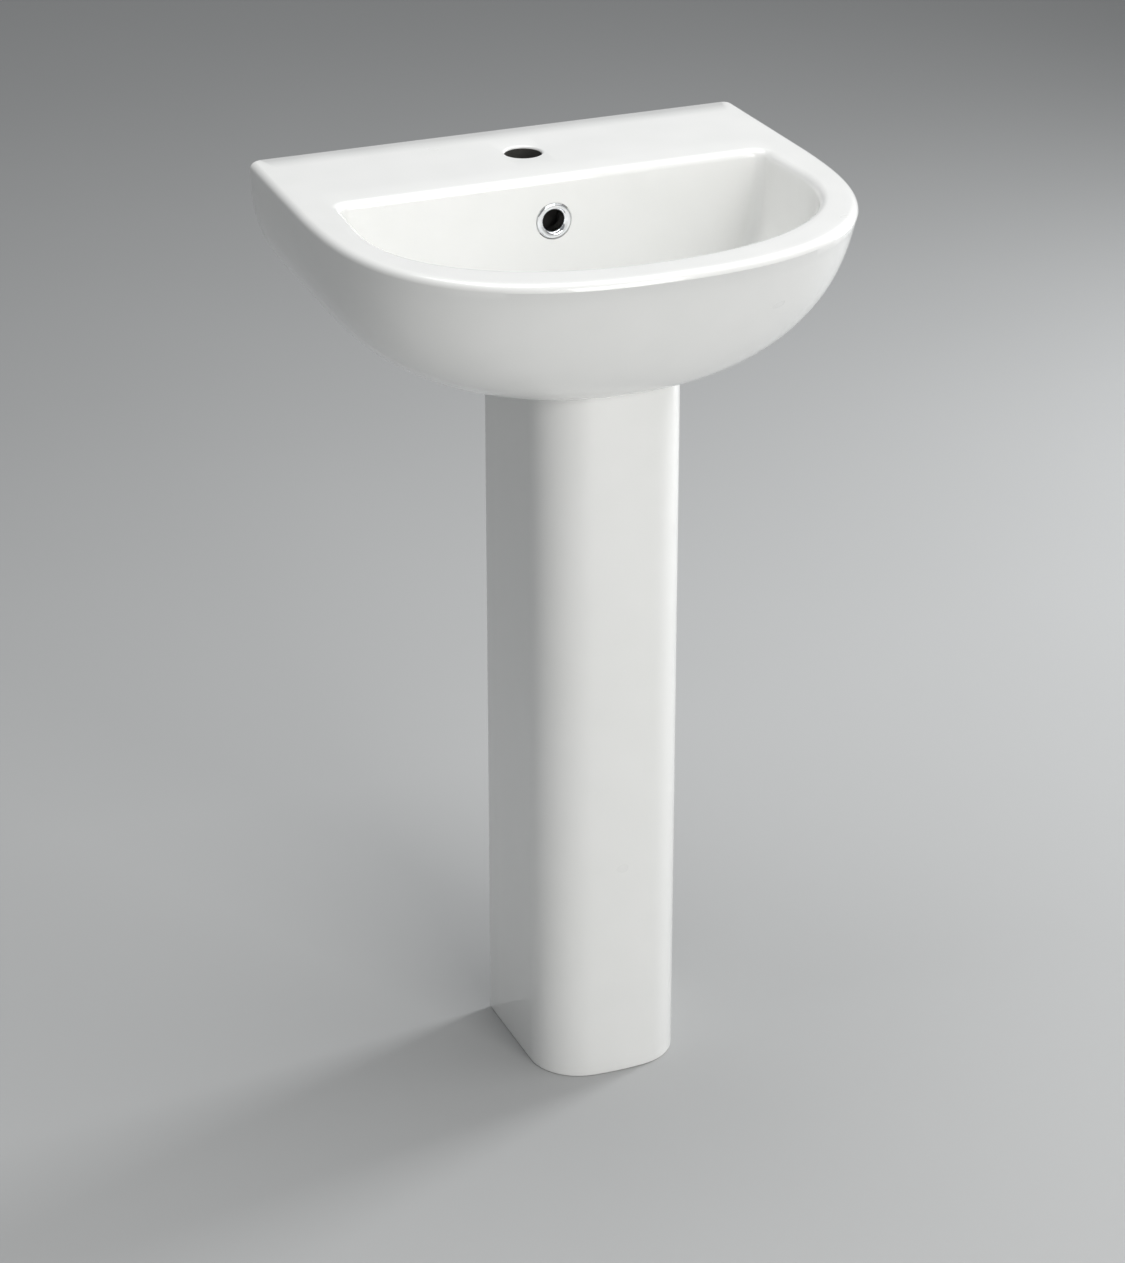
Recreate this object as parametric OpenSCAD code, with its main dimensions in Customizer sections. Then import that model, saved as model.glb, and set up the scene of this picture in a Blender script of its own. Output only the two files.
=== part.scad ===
// Pedestal sink: a D-shaped washbasin with a tap deck, standing on a pedestal, with its
// overflow, push-button waste, bottle trap, waste pipe and wall fixings. Millimetres.
//
// Every sub-part is drawn from the room: the wall is the plane y = 0 with the basin in
// front of it (-y), the floor is z = 0, and the basin's centre line is x = 0. in_room()
// then shifts it, so that the origin is on the floor in the middle of the footprint.

/* [Basin] */
// Height of the rim above the floor
rim_h = 860; // [700:1:1050]
// Width of the basin
basin_w = 500; // [410:1:620]
// Depth of the basin, from the wall to its front
basin_d = 427; // [350:1:530]
// Height of the basin, from its flat underside to its rim
basin_h = 148; // [135:1:190]
// Length of each side before the front curve starts
side_straight = 168; // [120:1:200]
// How much narrower each side is at the wall than where the front curve starts
side_taper = 5; // [0:0.5:12]
// Width of the flat underside
underside_w = 200; // [160:1:300]
// Depth of the flat underside, from the wall to its front
underside_d = 323; // [300:1:345]
// Radius of the rim's outer edge
rim_edge_r = 7; // [3:0.5:12]
// Radius of the upright edges at the wall
wall_edge_r = 5; // [2:0.5:12]
// Thickness of the walls round the hollow behind the bowl
skin_t = 13; // [10:0.5:20]

/* [Bowl] */
// Width of the rim at the sides
side_rim_w = 36; // [28:0.5:50]
// Width of the rim at the front
front_rim_w = 39; // [30:0.5:55]
// Depth of the tap deck, from the wall to the bowl
deck_d = 147; // [130:1:160]
// Thickness of the tap deck
deck_t = 20; // [15:0.5:30]
// Depth of the bowl, from the rim to the waste
bowl_d = 132; // [110:1:134]
// Length of the bowl's sides before its front curve starts
bowl_straight = 75; // [50:1:90]
// How much narrower the bowl is at its back, on each side
bowl_taper = 4; // [0:0.5:15]
// Radius of the bowl's two back corners
bowl_corner_r = 12; // [8:1:38]
// Radius of the edge between the rim and the bowl
mouth_edge_r = 8; // [4:0.5:12]
// Radius of the flat ring round the waste
waste_flat_r = 45; // [40:1:55]

/* [Tap hole and overflow] */
// Diameter of the tap hole
tap_hole_d = 35; // [30:0.5:38]
// Distance of the tap hole from the wall
tap_y = 71; // [60:1:80]
// Depth of the overflow's centre below the rim
overflow_drop = 43; // [38:1:50]
// Diameter of the overflow hole
overflow_hole_d = 25; // [20:0.5:28]
// Diameter of the overflow ring's face
overflow_ring_d = 34; // [30:0.5:38]
// Diameter of the opening in the overflow ring
overflow_bore_d = 20; // [14:0.5:21]
// Width of the overflow passage
passage_w = 28; // [16:1:32]
// Depth of the overflow passage, front to back and top to bottom
passage_t = 12; // [8:0.5:14]
// Thickness of the ceramic round the overflow passage
passage_wall = 9; // [6:0.5:12]

/* [Pedestal] */
// Width of the pedestal
ped_w = 145; // [130:1:175]
// Depth of the pedestal, front to back
ped_d = 162; // [140:1:165]
// Distance of the pedestal's back edges from the wall
ped_back = 152.5; // [150:0.5:160]
// Thickness of the pedestal's walls
ped_t = 12; // [8:0.5:14]
// Radius of the pedestal's front corners
ped_corner_r = 50; // [35:1:55]
// Radius of the pedestal's bowed front
ped_bow_r = 260; // [160:5:400]
// Height of the two floor lugs inside the pedestal
lug_h = 16; // [10:1:25]
// Width of each floor lug
lug_w = 26; // [22:1:30]
// Depth of each floor lug, front to back
lug_d = 36; // [28:1:45]
// Diameter of the screw hole in each floor lug
lug_hole_d = 8; // [5:0.5:10]
// Thickness of the rubber strip between the pedestal and the basin
seal_t = 2.5; // [1.5:0.5:4]
// How far the rubber strip stays back from the pedestal's faces
seal_inset = 2; // [1:0.5:3]

/* [Waste] */
// Distance of the waste from the wall
waste_y = 235; // [225:1:245]
// Diameter of the waste's thread, and so of its tail
tail_d = 41.9; // [38:0.1:44]
// Bore of the waste's tail
tail_bore_d = 36; // [32:0.5:37]
// Length of the waste, flange included
waste_len = 90; // [85:1:110]
// Diameter of the waste's flange
flange_d = 63.5; // [60:0.5:70]
// Thickness of the waste's flange
flange_t = 2.5; // [2:0.5:4]
// Thickness of the seal under the flange
top_seal_t = 1.5; // [1:0.5:3]
// Thickness of the ceramic round the waste hole
boss_t = 38; // [36:1:42]
// Outer diameter of the boss round the waste hole
boss_d = 78; // [74:1:84]
// Thickness of the seal under the boss
bottom_seal_t = 4; // [2:0.5:6]
// Height of the backnut
backnut_h = 10; // [8:0.5:12]
// Width across the flats of the backnut
backnut_af = 54; // [50:1:58]
// Radial clearance of the waste's tail in the ceramic
hole_gap = 1.6; // [0.5:0.1:3]

/* [Plug] */
// Diameter of the plug's cap
cap_d = 58; // [52:0.5:60]
// Height of the domed cap
cap_h = 6; // [4:0.5:9]
// How far the plug rises when it is clicked open
plug_travel = 8; // [5:0.5:9]
// Diameter of the plug's stem
stem_d = 8; // [6:0.5:9]
// Diameter of the click cartridge
cartridge_d = 14; // [13:0.5:16]
// Length of the click cartridge
cartridge_len = 44; // [40:1:50]
// Radial clearance of the stem in its cartridge
stem_gap = 0.06; // [0.03:0.01:0.1]
// Gap between parts that move past each other
part_gap = 0.3; // [0.3:0.1:0.6]
// Wire of the plug's spring
wire_d = 1; // [0.6:0.1:1.2]
// Turns of the plug's spring
spring_turns = 6; // [4:1:8]

/* [Trap] */
// Outer diameter of the waste pipe and of the trap's inlet tube
pipe_d = 32; // [30:0.5:34]
// Wall of the waste pipe
pipe_t = 2; // [1.5:0.5:3]
// Outer diameter of the trap's body
trap_d = 58; // [54:1:62]
// Wall of the trap's mouldings
trap_t = 3; // [2:0.5:4]
// Distance from the waste's end down to the outlet's centre line
outlet_drop = 74; // [68:1:90]
// Depth of water that the trap holds
water_seal = 75; // [50:1:80]
// Pitch of the thread that holds the cup on the body
cup_pitch = 4; // [3:0.5:5]
// Turns of that thread
cup_turns = 3; // [3:1:4]
// Height of the trap's nuts
trap_nut_h = 20; // [16:1:24]
// Wall of the trap's nuts over the thread that they fit
nut_wall = 5; // [4:0.5:6]
// Length of the outlet's threaded stub beyond the body
stub_len = 24; // [20:1:30]
// Distance of the waste pipe's end from the wall
pipe_end = 30; // [0:1:60]
// How far a coupling goes on to the waste pipe, up to its depth mark
coupling_len = 45; // [30:1:60]

/* [Wall fixings] */
// Distance between the two wall studs
stud_pitch = 280; // [240:1:290]
// Depth of the wall studs below the rim
stud_drop = 66; // [55:1:75]
// Diameter of the wall studs
stud_d = 10; // [8:0.5:12]
// Length of each stud in front of the wall
stud_out = 42; // [38:1:60]
// Length of each wall plug
plug_len = 60; // [50:1:80]
// Diameter of each wall plug
wall_plug_d = 14; // [13:0.5:16]
// Diameter of each stud hole in the basin
stud_hole_d = 16; // [15:0.5:18]
// Diameter of each stud washer
washer_d = 28; // [24:1:30]
// Thickness of each stud washer
washer_t = 2; // [1:0.5:3]
// Width across the flats of each stud nut
nut_af = 17; // [16:0.5:19]
// Height of each stud nut
nut_h = 8; // [6:0.5:10]

/* [Colours] */
// Colour of the glazed ceramic
ceramic = "white"; // [white, ivory, whitesmoke]
// Colour of the plated metal
chrome = "silver"; // [silver, gainsboro]
// Colour of the rubber
rubber = "dimgray"; // [dimgray, darkslategray, black]
// Colour of the moulded plastic
plastic = "gainsboro"; // [gainsboro, whitesmoke, white]

/* [Hidden] */
$fn = 96;
eps = 0.01;

// The footprint reaches from the basin's front to the ends of the wall plugs.
wall_y = (basin_d - plug_len) / 2;

// Heights of the basin's levels, and the bowl's own sizes
underside_z = rim_h - basin_h;
floor_z = rim_h - bowl_d;
mouth_w = basin_w - 2 * side_rim_w;
mouth_front = basin_d - front_rim_w;

// The front curves of the rim and of the bowl are superellipses; these are their powers.
rim_curve = [2.47, 2.75];
bowl_curve = [2.16, 2.27];
// How the outer walls round in towards the underside: powers of the width and of the depth
side_fall = [2.4, 2.2];
front_fall = [0.78, 1.73];
// How the bowl rounds in towards the waste: powers of its width, its front and its back
bowl_side_fall = [2.8, 4.6];
bowl_front_fall = [2, 2.4];
bowl_back_fall = [2.6, 4];

// Points on each stretch of a level's outline, and levels in each stretch of the skin
back_steps = 6;
corner_steps = 4;
side_steps = 4;
front_steps = 18;
edge_steps = 3;
outer_steps = 12;
bowl_steps = 13;
ring_points = 2 * (back_steps + corner_steps + side_steps + front_steps);

// Overflow: its seat in the bowl's back wall, and the passage down to the waste
overflow_z = rim_h - overflow_drop;
overflow_seat = deck_d - 0.8;
ring_t = 2.5;
ring_barrel = 11;
barrel_gap = 0.4;
hollow_front = deck_d - skin_t;
passage_back = hollow_front - passage_t;
rib_back = passage_back - passage_wall;
rib_w = passage_w + 2 * passage_wall;
boss_z = floor_z - boss_t;
passage_z = boss_z + passage_wall + 2;
window_h = passage_t - 2;

// Waste: levels from the flange down to the end of the tail
recess_t = top_seal_t + flange_t;
seat_z = floor_z - recess_t;
tail_z = floor_z - waste_len;
web_t = 6;
web_z = passage_z - 6 - web_t;
seat_drop = 9;

// Plug: its cap, its stem and its click cartridge
cap_z = floor_z + part_gap;
cap_boss_d = 16;
foot_d = stem_d + 2;
foot_h = 4;
cartridge_wall = 1.5;
cartridge_top = web_z + web_t + 10;
cartridge_z = cartridge_top - cartridge_len;
foot_z = cartridge_top - 5 - plug_travel - foot_h - 2;
plug_seal_t = 3;
plug_seal_z = floor_z - 5.5;
cone_top_d = 45;
plug_seal_d = cone_at(plug_seal_z) - 2 * part_gap;

// Trap: levels from the inlet nut down to the cup
thread_gap = 0.3;
tube_gap = 0.4;
lip_t = 4;
collar_t = 4;
cup_thread = cup_pitch * cup_turns + 3;
inlet_seal_t = 2;
collar_z = tail_z - inlet_seal_t - collar_t;
outlet_z = tail_z - outlet_drop;
pipe_r = pipe_d / 2;
bore_r = pipe_r - pipe_t;
neck_d = pipe_d + 2 * (tube_gap + trap_t + 2);
neck_h = 12;
body_top = outlet_z + pipe_r + trap_t + 5;
body_bottom = outlet_z - pipe_r - trap_t - 3 - cup_thread;
dip_z = outlet_z - bore_r - water_seal;
cup_seal_t = 2.5;
cup_bore_d = trap_d + 2 * thread_gap;
cup_d = cup_bore_d + 2 * trap_t;
cup_z = dip_z - 22;
cup_floor_t = 4;
cup_shoulder_z = body_bottom - part_gap - cup_seal_t;
cup_ribs = 24;
stub_d = pipe_d + 2 * (tube_gap + trap_t);
stub_end = waste_y - trap_d / 2 - stub_len;
pipe_start = stub_end + 16;
mark_w = 2;
mark_depth = 0.4;

// Wall fixings
stud_z = rim_h - stud_drop;
flange_bush_t = 3;
bush_gap = 0.4;

// ---- Places ----

// Shifts what is drawn from the wall and the floor into the part's own frame.
module in_room() {
    translate([0, wall_y, 0]) children();
}

// On the waste's upright axis, at a height.
module on_waste(z) {
    in_room() translate([0, -waste_y, z]) children();
}

// On a level axis that points from the wall into the room (+z becomes -y).
module from_wall(x, z) {
    in_room() translate([x, 0, z]) rotate([90, 0, 0]) children();
}

// At both wall studs.
module at_studs() {
    for (side = [-1, 1]) from_wall(side * stud_pitch / 2, stud_z) children();
}

// ---- Simple shapes ----

// A tube from z = 0 up.
module tube(outer_d, inner_d, h) {
    difference() {
        cylinder(d = outer_d, h = h);
        translate([0, 0, -1]) cylinder(d = inner_d, h = h + 2);
    }
}

// A hexagonal prism, given its width across the flats.
module hexagon(af, h) {
    cylinder(d = af / cos(30), h = h, $fn = 6);
}

// A round body with grip ribs along it.
module ribbed(d, h, ribs) {
    cylinder(d = d, h = h);
    for (k = [0 : ribs - 1])
        rotate(360 * k / ribs) translate([d / 2 - 1, -1, 0]) cube([2.2, 2, h]);
}

// A union nut along +z: a ribbed body over a thread, and a lip round the tube it clamps.
module union_nut(thread_d, tube_d, h) {
    difference() {
        ribbed(thread_d + 2 * (thread_gap / 2 + nut_wall), h, 16);
        translate([0, 0, lip_t]) cylinder(d = thread_d + thread_gap, h = h);
        translate([0, 0, -1]) cylinder(d = tube_d + 2 * tube_gap, h = h);
    }
}

// ---- Level outlines and the skin that joins them ----

// Share of the way out that a wall has at a depth u (0 at the top, 1 at the bottom).
function fall(u, powers) = pow(max(0, 1 - pow(u, powers[0])), 1 / powers[1]);

// One quadrant of a superellipse from [1, 0] to [0, 1].
function super(t, powers) = [pow(cos(t), 2 / powers[0]), pow(sin(t), 2 / powers[1])];

// The right half of a level: along the back, round the corner, down the side, round the front.
// w and w_back are half widths; back, side and front are distances from the wall.
function half_outline(w, w_back, back, side, front, corner_r, powers) = [
    for (k = [0 : back_steps - 1]) [(w_back - corner_r) * k / back_steps, -back],
    for (k = [0 : corner_steps - 1])
        let (a = 90 * k / corner_steps)
        [w_back - corner_r + corner_r * sin(a), -back - corner_r + corner_r * cos(a)],
    for (k = [0 : side_steps - 1])
        let (s = k / side_steps)
        [w_back + (w - w_back) * s, -back - corner_r - (side - back - corner_r) * s],
    for (k = [0 : front_steps])
        let (p = super(90 * k / front_steps, powers))
        [w * p[0], -side - (front - side) * p[1]]
];

// A whole level, as a closed list of points at height z.
function level(half, z) = concat(
    [for (p = half) [p[0], p[1], z]],
    [for (k = [len(half) - 2 : -1 : 1]) [-half[k][0], half[k][1], z]]
);

// The outer wall, at a depth share u from the rim's edge down to the underside, drawn in by inset.
function outer_share(depth) = max(0, min(1, (depth - rim_edge_r) / (basin_h - rim_edge_r)));
function outer_w(u) = underside_w / 2 + (basin_w - underside_w) / 2 * fall(u, side_fall);
function outer_front(u) = underside_d + (basin_d - underside_d) * fall(u, front_fall);
function outer_level(u, inset, z) =
    let (w = outer_w(u) - inset, taper = side_taper * outer_w(u) / outer_w(0))
    level(half_outline(w, w - taper, 0, side_straight, outer_front(u) - inset,
                       wall_edge_r, rim_curve), z);

// The bowl's wall, at a depth share u from the rim's edge down to the waste, spread out by outset.
function bowl_w(u) = waste_flat_r + (mouth_w / 2 - waste_flat_r) * fall(u, bowl_side_fall);
function bowl_front(u) =
    waste_y + waste_flat_r + (mouth_front - waste_y - waste_flat_r) * fall(u, bowl_front_fall);
function bowl_back(u) =
    waste_y - waste_flat_r - (waste_y - waste_flat_r - deck_d) * fall(u, bowl_back_fall);
function bowl_level(u, outset, z) =
    let (share = fall(u, bowl_side_fall),
         w = bowl_w(u) + outset,
         side = waste_y + (deck_d + bowl_straight - waste_y) * share)
    level(half_outline(w, w - bowl_taper * share, bowl_back(u) - outset, side,
                       bowl_front(u) + outset, bowl_corner_r + outset, bowl_curve), z);

// Depth shares that close up towards the bottom, where the walls turn in.
function deep(k, steps, power) = 1 - pow(1 - k / steps, power);

// Every level of the basin's skin, from the underside up, over the rim and down the bowl.
skin_levels = concat(
    [for (k = [outer_steps : -1 : 0])
        let (u = deep(k, outer_steps, 2))
        outer_level(u, 0, rim_h - rim_edge_r - (basin_h - rim_edge_r) * u)],
    [for (k = [1 : edge_steps])
        let (a = 90 * k / edge_steps)
        outer_level(0, rim_edge_r * (1 - cos(a)), rim_h - rim_edge_r * (1 - sin(a)))],
    [for (k = [edge_steps : -1 : 1])
        let (a = 90 * k / edge_steps)
        bowl_level(0, mouth_edge_r * (1 - cos(a)), rim_h - mouth_edge_r * (1 - sin(a)))],
    [for (k = [0 : bowl_steps])
        let (u = deep(k, bowl_steps, 2.6))
        bowl_level(u, 0, rim_h - mouth_edge_r - (bowl_d - mouth_edge_r) * u)]
);

// Joins levels of equal length into one closed surface, with a point in the middle of each end.
module skin(levels, first_middle, last_middle) {
    n = len(levels[0]);
    last = len(levels) - 1;
    sides = [
        for (j = [0 : last - 1], i = [0 : n - 1])
            let (a = j * n + i, b = j * n + (i + 1) % n)
            each [[a, b, a + n], [b, b + n, a + n]]
    ];
    first_end = [for (i = [0 : n - 1]) [(i + 1) % n, i, (last + 1) * n]];
    last_end = [for (i = [0 : n - 1]) [last * n + i, last * n + (i + 1) % n, (last + 1) * n + 1]];
    polyhedron([for (ring = levels) each ring, first_middle, last_middle],
               concat(first_end, sides, last_end), convexity = 6);
}

// ---- Basin ----

// The hollow behind the bowl, open below, that the tap and the wall studs are reached through.
module basin_hollow() {
    levels = [for (k = [0 : 8]) deck_t + (basin_h - deck_t) * k / 8];
    edge = [
        for (d = levels)
            let (w = outer_w(outer_share(d)), w_below = outer_w(outer_share(d + skin_t)))
            [min(w - skin_t, w_below) - side_taper, rim_h - d]
    ];
    bottom = [edge[8][0], underside_z - 1];
    half = concat(edge, [bottom]);
    difference() {
        translate([0, -skin_t, 0]) rotate([90, 0, 0]) linear_extrude(hollow_front - skin_t)
            polygon(concat(half, [for (k = [len(half) - 1 : -1 : 0]) [-half[k][0], half[k][1]]]));
        translate([-rib_w / 2, -hollow_front - 1, boss_z])
            cube([rib_w, hollow_front + 1 - rib_back, rim_h - boss_z]);
    }
}

// The overflow's way: in through the back wall, down behind the bowl, forward to the waste.
module overflow_passage() {
    drop = overflow_z + overflow_hole_d / 2 - passage_z;
    translate([0, -passage_back, overflow_z]) rotate([90, 0, 0])
        cylinder(d = overflow_hole_d, h = deck_d);
    translate([-passage_w / 2, -hollow_front, passage_z])
        cube([passage_w, passage_t, drop + 2]);
    translate([-passage_w / 2, -waste_y, passage_z])
        cube([passage_w, waste_y - passage_back, passage_t]);
}

module basin() {
    color(ceramic) in_room() difference() {
        union() {
            difference() {
                skin(skin_levels, [0, -waste_y, underside_z], [0, -waste_y, floor_z]);
                basin_hollow();
            }
            translate([0, -waste_y, boss_z]) cylinder(d = boss_d, h = underside_z - boss_z + 4);
            translate([-rib_w / 2, -waste_y, boss_z])
                cube([rib_w, waste_y - rib_back, underside_z - boss_z + 4]);
        }
        translate([0, -waste_y, seat_z]) cylinder(d = flange_d + 2, h = recess_t + 1);
        translate([0, -waste_y, boss_z - 1]) cylinder(d = tail_d + 2 * hole_gap, h = boss_t);
        overflow_passage();
        translate([0, -overflow_seat, overflow_z]) rotate([90, 0, 0])
            cylinder(d = overflow_ring_d + 1, h = 20);
        translate([0, -tap_y, rim_h - deck_t - 1]) cylinder(d = tap_hole_d, h = deck_t + 2);
        for (side = [-1, 1])
            translate([side * stud_pitch / 2, 1, stud_z]) rotate([90, 0, 0])
                cylinder(d = stud_hole_d, h = skin_t + 2);
    }
}

// ---- Pedestal ----

// The pedestal's section from above, drawn in by inset; the back is at y = -ped_back.
// Its two front corners are arcs that run smoothly into the bowed front.
module pedestal_section(inset, back) {
    corner_x = ped_w / 2 - ped_corner_r;
    reach = ped_bow_r - ped_corner_r;
    bow_y = ped_back + ped_d - ped_bow_r;
    corner_y = bow_y + sqrt(reach * reach - corner_x * corner_x);
    tip = ped_bow_r * 1.2;
    union() {
        translate([-(ped_w / 2 - inset), -corner_y])
            square([ped_w - 2 * inset, corner_y - back]);
        translate([-corner_x, -corner_y - (ped_corner_r - inset) / 2])
            square([2 * corner_x, (ped_corner_r - inset) / 2 + 1]);
        for (side = [-1, 1])
            translate([side * corner_x, -corner_y]) circle(r = ped_corner_r - inset);
        intersection() {
            translate([0, -bow_y]) circle(r = ped_bow_r - inset, $fn = 360);
            polygon([[0, -bow_y], [tip * corner_x / reach, -bow_y - tip * (corner_y - bow_y) / reach],
                     [-tip * corner_x / reach, -bow_y - tip * (corner_y - bow_y) / reach]]);
        }
    }
}

ped_h = underside_z - seal_t;
lug_x = ped_w / 2 - ped_t - lug_w / 2;
lug_y = ped_back + lug_d / 2;

module pedestal() {
    color(ceramic) in_room() difference() {
        union() {
            difference() {
                linear_extrude(ped_h) pedestal_section(0, ped_back);
                translate([0, 0, -1]) linear_extrude(ped_h + 2)
                    pedestal_section(ped_t, ped_back - 1);
            }
            for (side = [-1, 1])
                translate([side * lug_x - lug_w / 2, -ped_back - lug_d, 0])
                    cube([lug_w, lug_d, lug_h]);
        }
        for (side = [-1, 1])
            translate([side * lug_x, -lug_y, -1]) cylinder(d = lug_hole_d, h = lug_h + 2);
    }
}

module pedestal_seal() {
    color("whitesmoke") in_room() translate([0, 0, ped_h]) linear_extrude(seal_t) difference() {
        pedestal_section(seal_inset, ped_back + seal_inset);
        pedestal_section(ped_t - seal_inset, ped_back - 1);
    }
}

// ---- Overflow ring ----

module overflow_ring() {
    barrel_d = overflow_hole_d - 2 * barrel_gap;
    color(chrome) in_room() translate([0, -overflow_seat, overflow_z]) rotate([90, 0, 0])
        rotate_extrude() polygon([
            [overflow_bore_d / 2, -ring_barrel], [barrel_d / 2, -ring_barrel], [barrel_d / 2, 0],
            [overflow_ring_d / 2, 0], [overflow_ring_d / 2, ring_t * 0.4],
            [overflow_ring_d / 2 - ring_t * 0.6, ring_t],
            [overflow_bore_d / 2 + ring_t * 0.4, ring_t], [overflow_bore_d / 2, ring_t * 0.6]
        ]);
}

// ---- Waste ----

// Bore of the flange's conical seat at a height.
function cone_at(z) =
    tail_bore_d + (cone_top_d - tail_bore_d) * max(0, z - (floor_z - seat_drop)) / seat_drop;

module waste_body() {
    color(chrome) in_room() translate([0, -waste_y, 0]) difference() {
        union() {
            difference() {
                rotate_extrude() polygon([
                    [tail_bore_d / 2, tail_z], [tail_d / 2, tail_z],
                    [tail_d / 2, floor_z - flange_t], [flange_d / 2, floor_z - flange_t],
                    [flange_d / 2, floor_z - flange_t * 0.5], [flange_d / 2 - flange_t * 0.5, floor_z],
                    [cone_top_d / 2, floor_z], [tail_bore_d / 2, floor_z - seat_drop]
                ]);
                translate([-passage_w / 2 + 4, -tail_d, passage_z + 1])
                    cube([passage_w - 8, 2 * tail_d, window_h]);
            }
            translate([0, 0, web_z]) cylinder(d = cartridge_d + 7, h = web_t);
            for (k = [0 : 2])
                rotate(120 * k) translate([cartridge_d / 2 + 2, -2, web_z])
                    cube([(tail_bore_d - cartridge_d) / 2 - 1, 4, web_t]);
        }
        translate([0, 0, web_z - 1]) cylinder(d = cartridge_d, h = web_t + 2);
    }
}

module waste_top_seal() {
    color(rubber) on_waste(seat_z) tube(flange_d - 2, tail_d + 0.4, top_seal_t);
}

module waste_bottom_seal() {
    color(rubber) on_waste(boss_z - bottom_seal_t) tube(boss_d - 14, tail_d + 0.4, bottom_seal_t);
}

module waste_backnut() {
    color("goldenrod") on_waste(boss_z - bottom_seal_t - backnut_h) difference() {
        union() {
            hexagon(backnut_af, backnut_h);
            translate([0, 0, backnut_h - 2]) cylinder(d = backnut_af + 8, h = 2);
        }
        translate([0, 0, -1]) cylinder(d = tail_d + thread_gap, h = backnut_h + 2);
    }
}

// ---- Plug ----

module plug_cap() {
    // The cap's top is a shallow dome: a ball cut off at the cap's width.
    dome = cap_h - 2;
    ball_r = (pow(cap_d / 2, 2) + dome * dome) / (2 * dome);
    color(chrome) on_waste(cap_z) {
        difference() {
            union() {
                cylinder(d = cap_d, h = 2);
                intersection() {
                    translate([0, 0, 2 + dome - ball_r]) sphere(r = ball_r, $fn = 240);
                    translate([0, 0, 1]) cylinder(d = cap_d, h = cap_h);
                }
                translate([0, 0, plug_seal_z - cap_z - 1.5])
                    cylinder(d = plug_seal_d - 9, h = cap_z - plug_seal_z + 2);
                translate([0, 0, plug_seal_z - cap_z - 4])
                    cylinder(d = plug_seal_d - 5, h = 4);
                translate([0, 0, -12]) cylinder(d = cap_boss_d, h = 12);
            }
            translate([0, 0, -13]) cylinder(d = stem_d, h = 12);
        }
    }
}

module plug_seal() {
    color(rubber) on_waste(plug_seal_z) tube(plug_seal_d, plug_seal_d - 9, plug_seal_t);
}

module plug_stem() {
    color("goldenrod") on_waste(0) {
        translate([0, 0, foot_z]) cylinder(d = stem_d, h = cap_z - 1 - foot_z);
        translate([0, 0, foot_z]) cylinder(d = foot_d, h = foot_h);
    }
}

module plug_cartridge() {
    cavity_d = cartridge_d - 2 * cartridge_wall;
    color(plastic) on_waste(cartridge_z) difference() {
        union() {
            cylinder(d = cartridge_d, h = cartridge_len);
            translate([0, 0, web_z + web_t - cartridge_z]) cylinder(d = cartridge_d + 3, h = 3);
        }
        translate([0, 0, 2]) cylinder(d = cavity_d, h = cartridge_len - 7);
        translate([0, 0, 3]) cylinder(d = stem_d + 2 * stem_gap, h = cartridge_len);
    }
}

// A coil of round wire from z0 to z1, swept by its own helix; its end turns are closed.
module coil(coil_d, wire, turns, z0, z1) {
    steps = 14 * turns;
    ring = 6;
    function rise(s) = (s * s * (3 - 2 * s) + s) / 2;
    points = [
        for (k = [0 : steps])
            let (s = k / steps, a = 360 * turns * s, z = z0 + wire / 2 + (z1 - z0 - wire) * rise(s))
            for (j = [0 : ring - 1])
                let (b = 360 * j / ring, r = coil_d / 2 + wire / 2 * cos(b))
                [r * cos(a), r * sin(a), z + wire / 2 * sin(b)]
    ];
    sides = [
        for (k = [0 : steps - 1], j = [0 : ring - 1])
            let (a = k * ring + j, b = k * ring + (j + 1) % ring)
            each [[a, b, a + ring], [b, b + ring, a + ring]]
    ];
    polyhedron(points, concat([[for (j = [0 : ring - 1]) ring - 1 - j]], sides,
                              [[for (j = [0 : ring - 1]) steps * ring + j]]));
}

module plug_spring() {
    cavity_d = cartridge_d - 2 * cartridge_wall;
    color("gray") on_waste(0)
        coil(cavity_d - 1 - wire_d, wire_d, spring_turns, cartridge_z + 2.1, foot_z - 0.1);
}

// ---- Trap ----

module trap_inlet_nut() {
    color(plastic) on_waste(collar_z - lip_t) union_nut(tail_d, pipe_d, trap_nut_h);
}

module trap_inlet_seal() {
    color(rubber) on_waste(collar_z + collar_t) tube(tail_d - 1, 2 * bore_r, inlet_seal_t);
}

module trap_inlet_tube() {
    color(plastic) on_waste(0) difference() {
        union() {
            translate([0, 0, collar_z]) cylinder(d = tail_d - 1, h = collar_t);
            translate([0, 0, dip_z]) cylinder(d = pipe_d, h = collar_z - dip_z + 1);
        }
        translate([0, 0, dip_z - 1]) cylinder(r = bore_r, h = collar_z - dip_z + collar_t + 2);
    }
}

module trap_top_nut() {
    color(plastic) on_waste(body_top + neck_h + 3 + lip_t) mirror([0, 0, 1])
        union_nut(neck_d, pipe_d, trap_nut_h - 4);
}

module trap_top_seal() {
    color(rubber) on_waste(body_top + neck_h) tube(neck_d - 1, pipe_d, 3);
}

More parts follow.
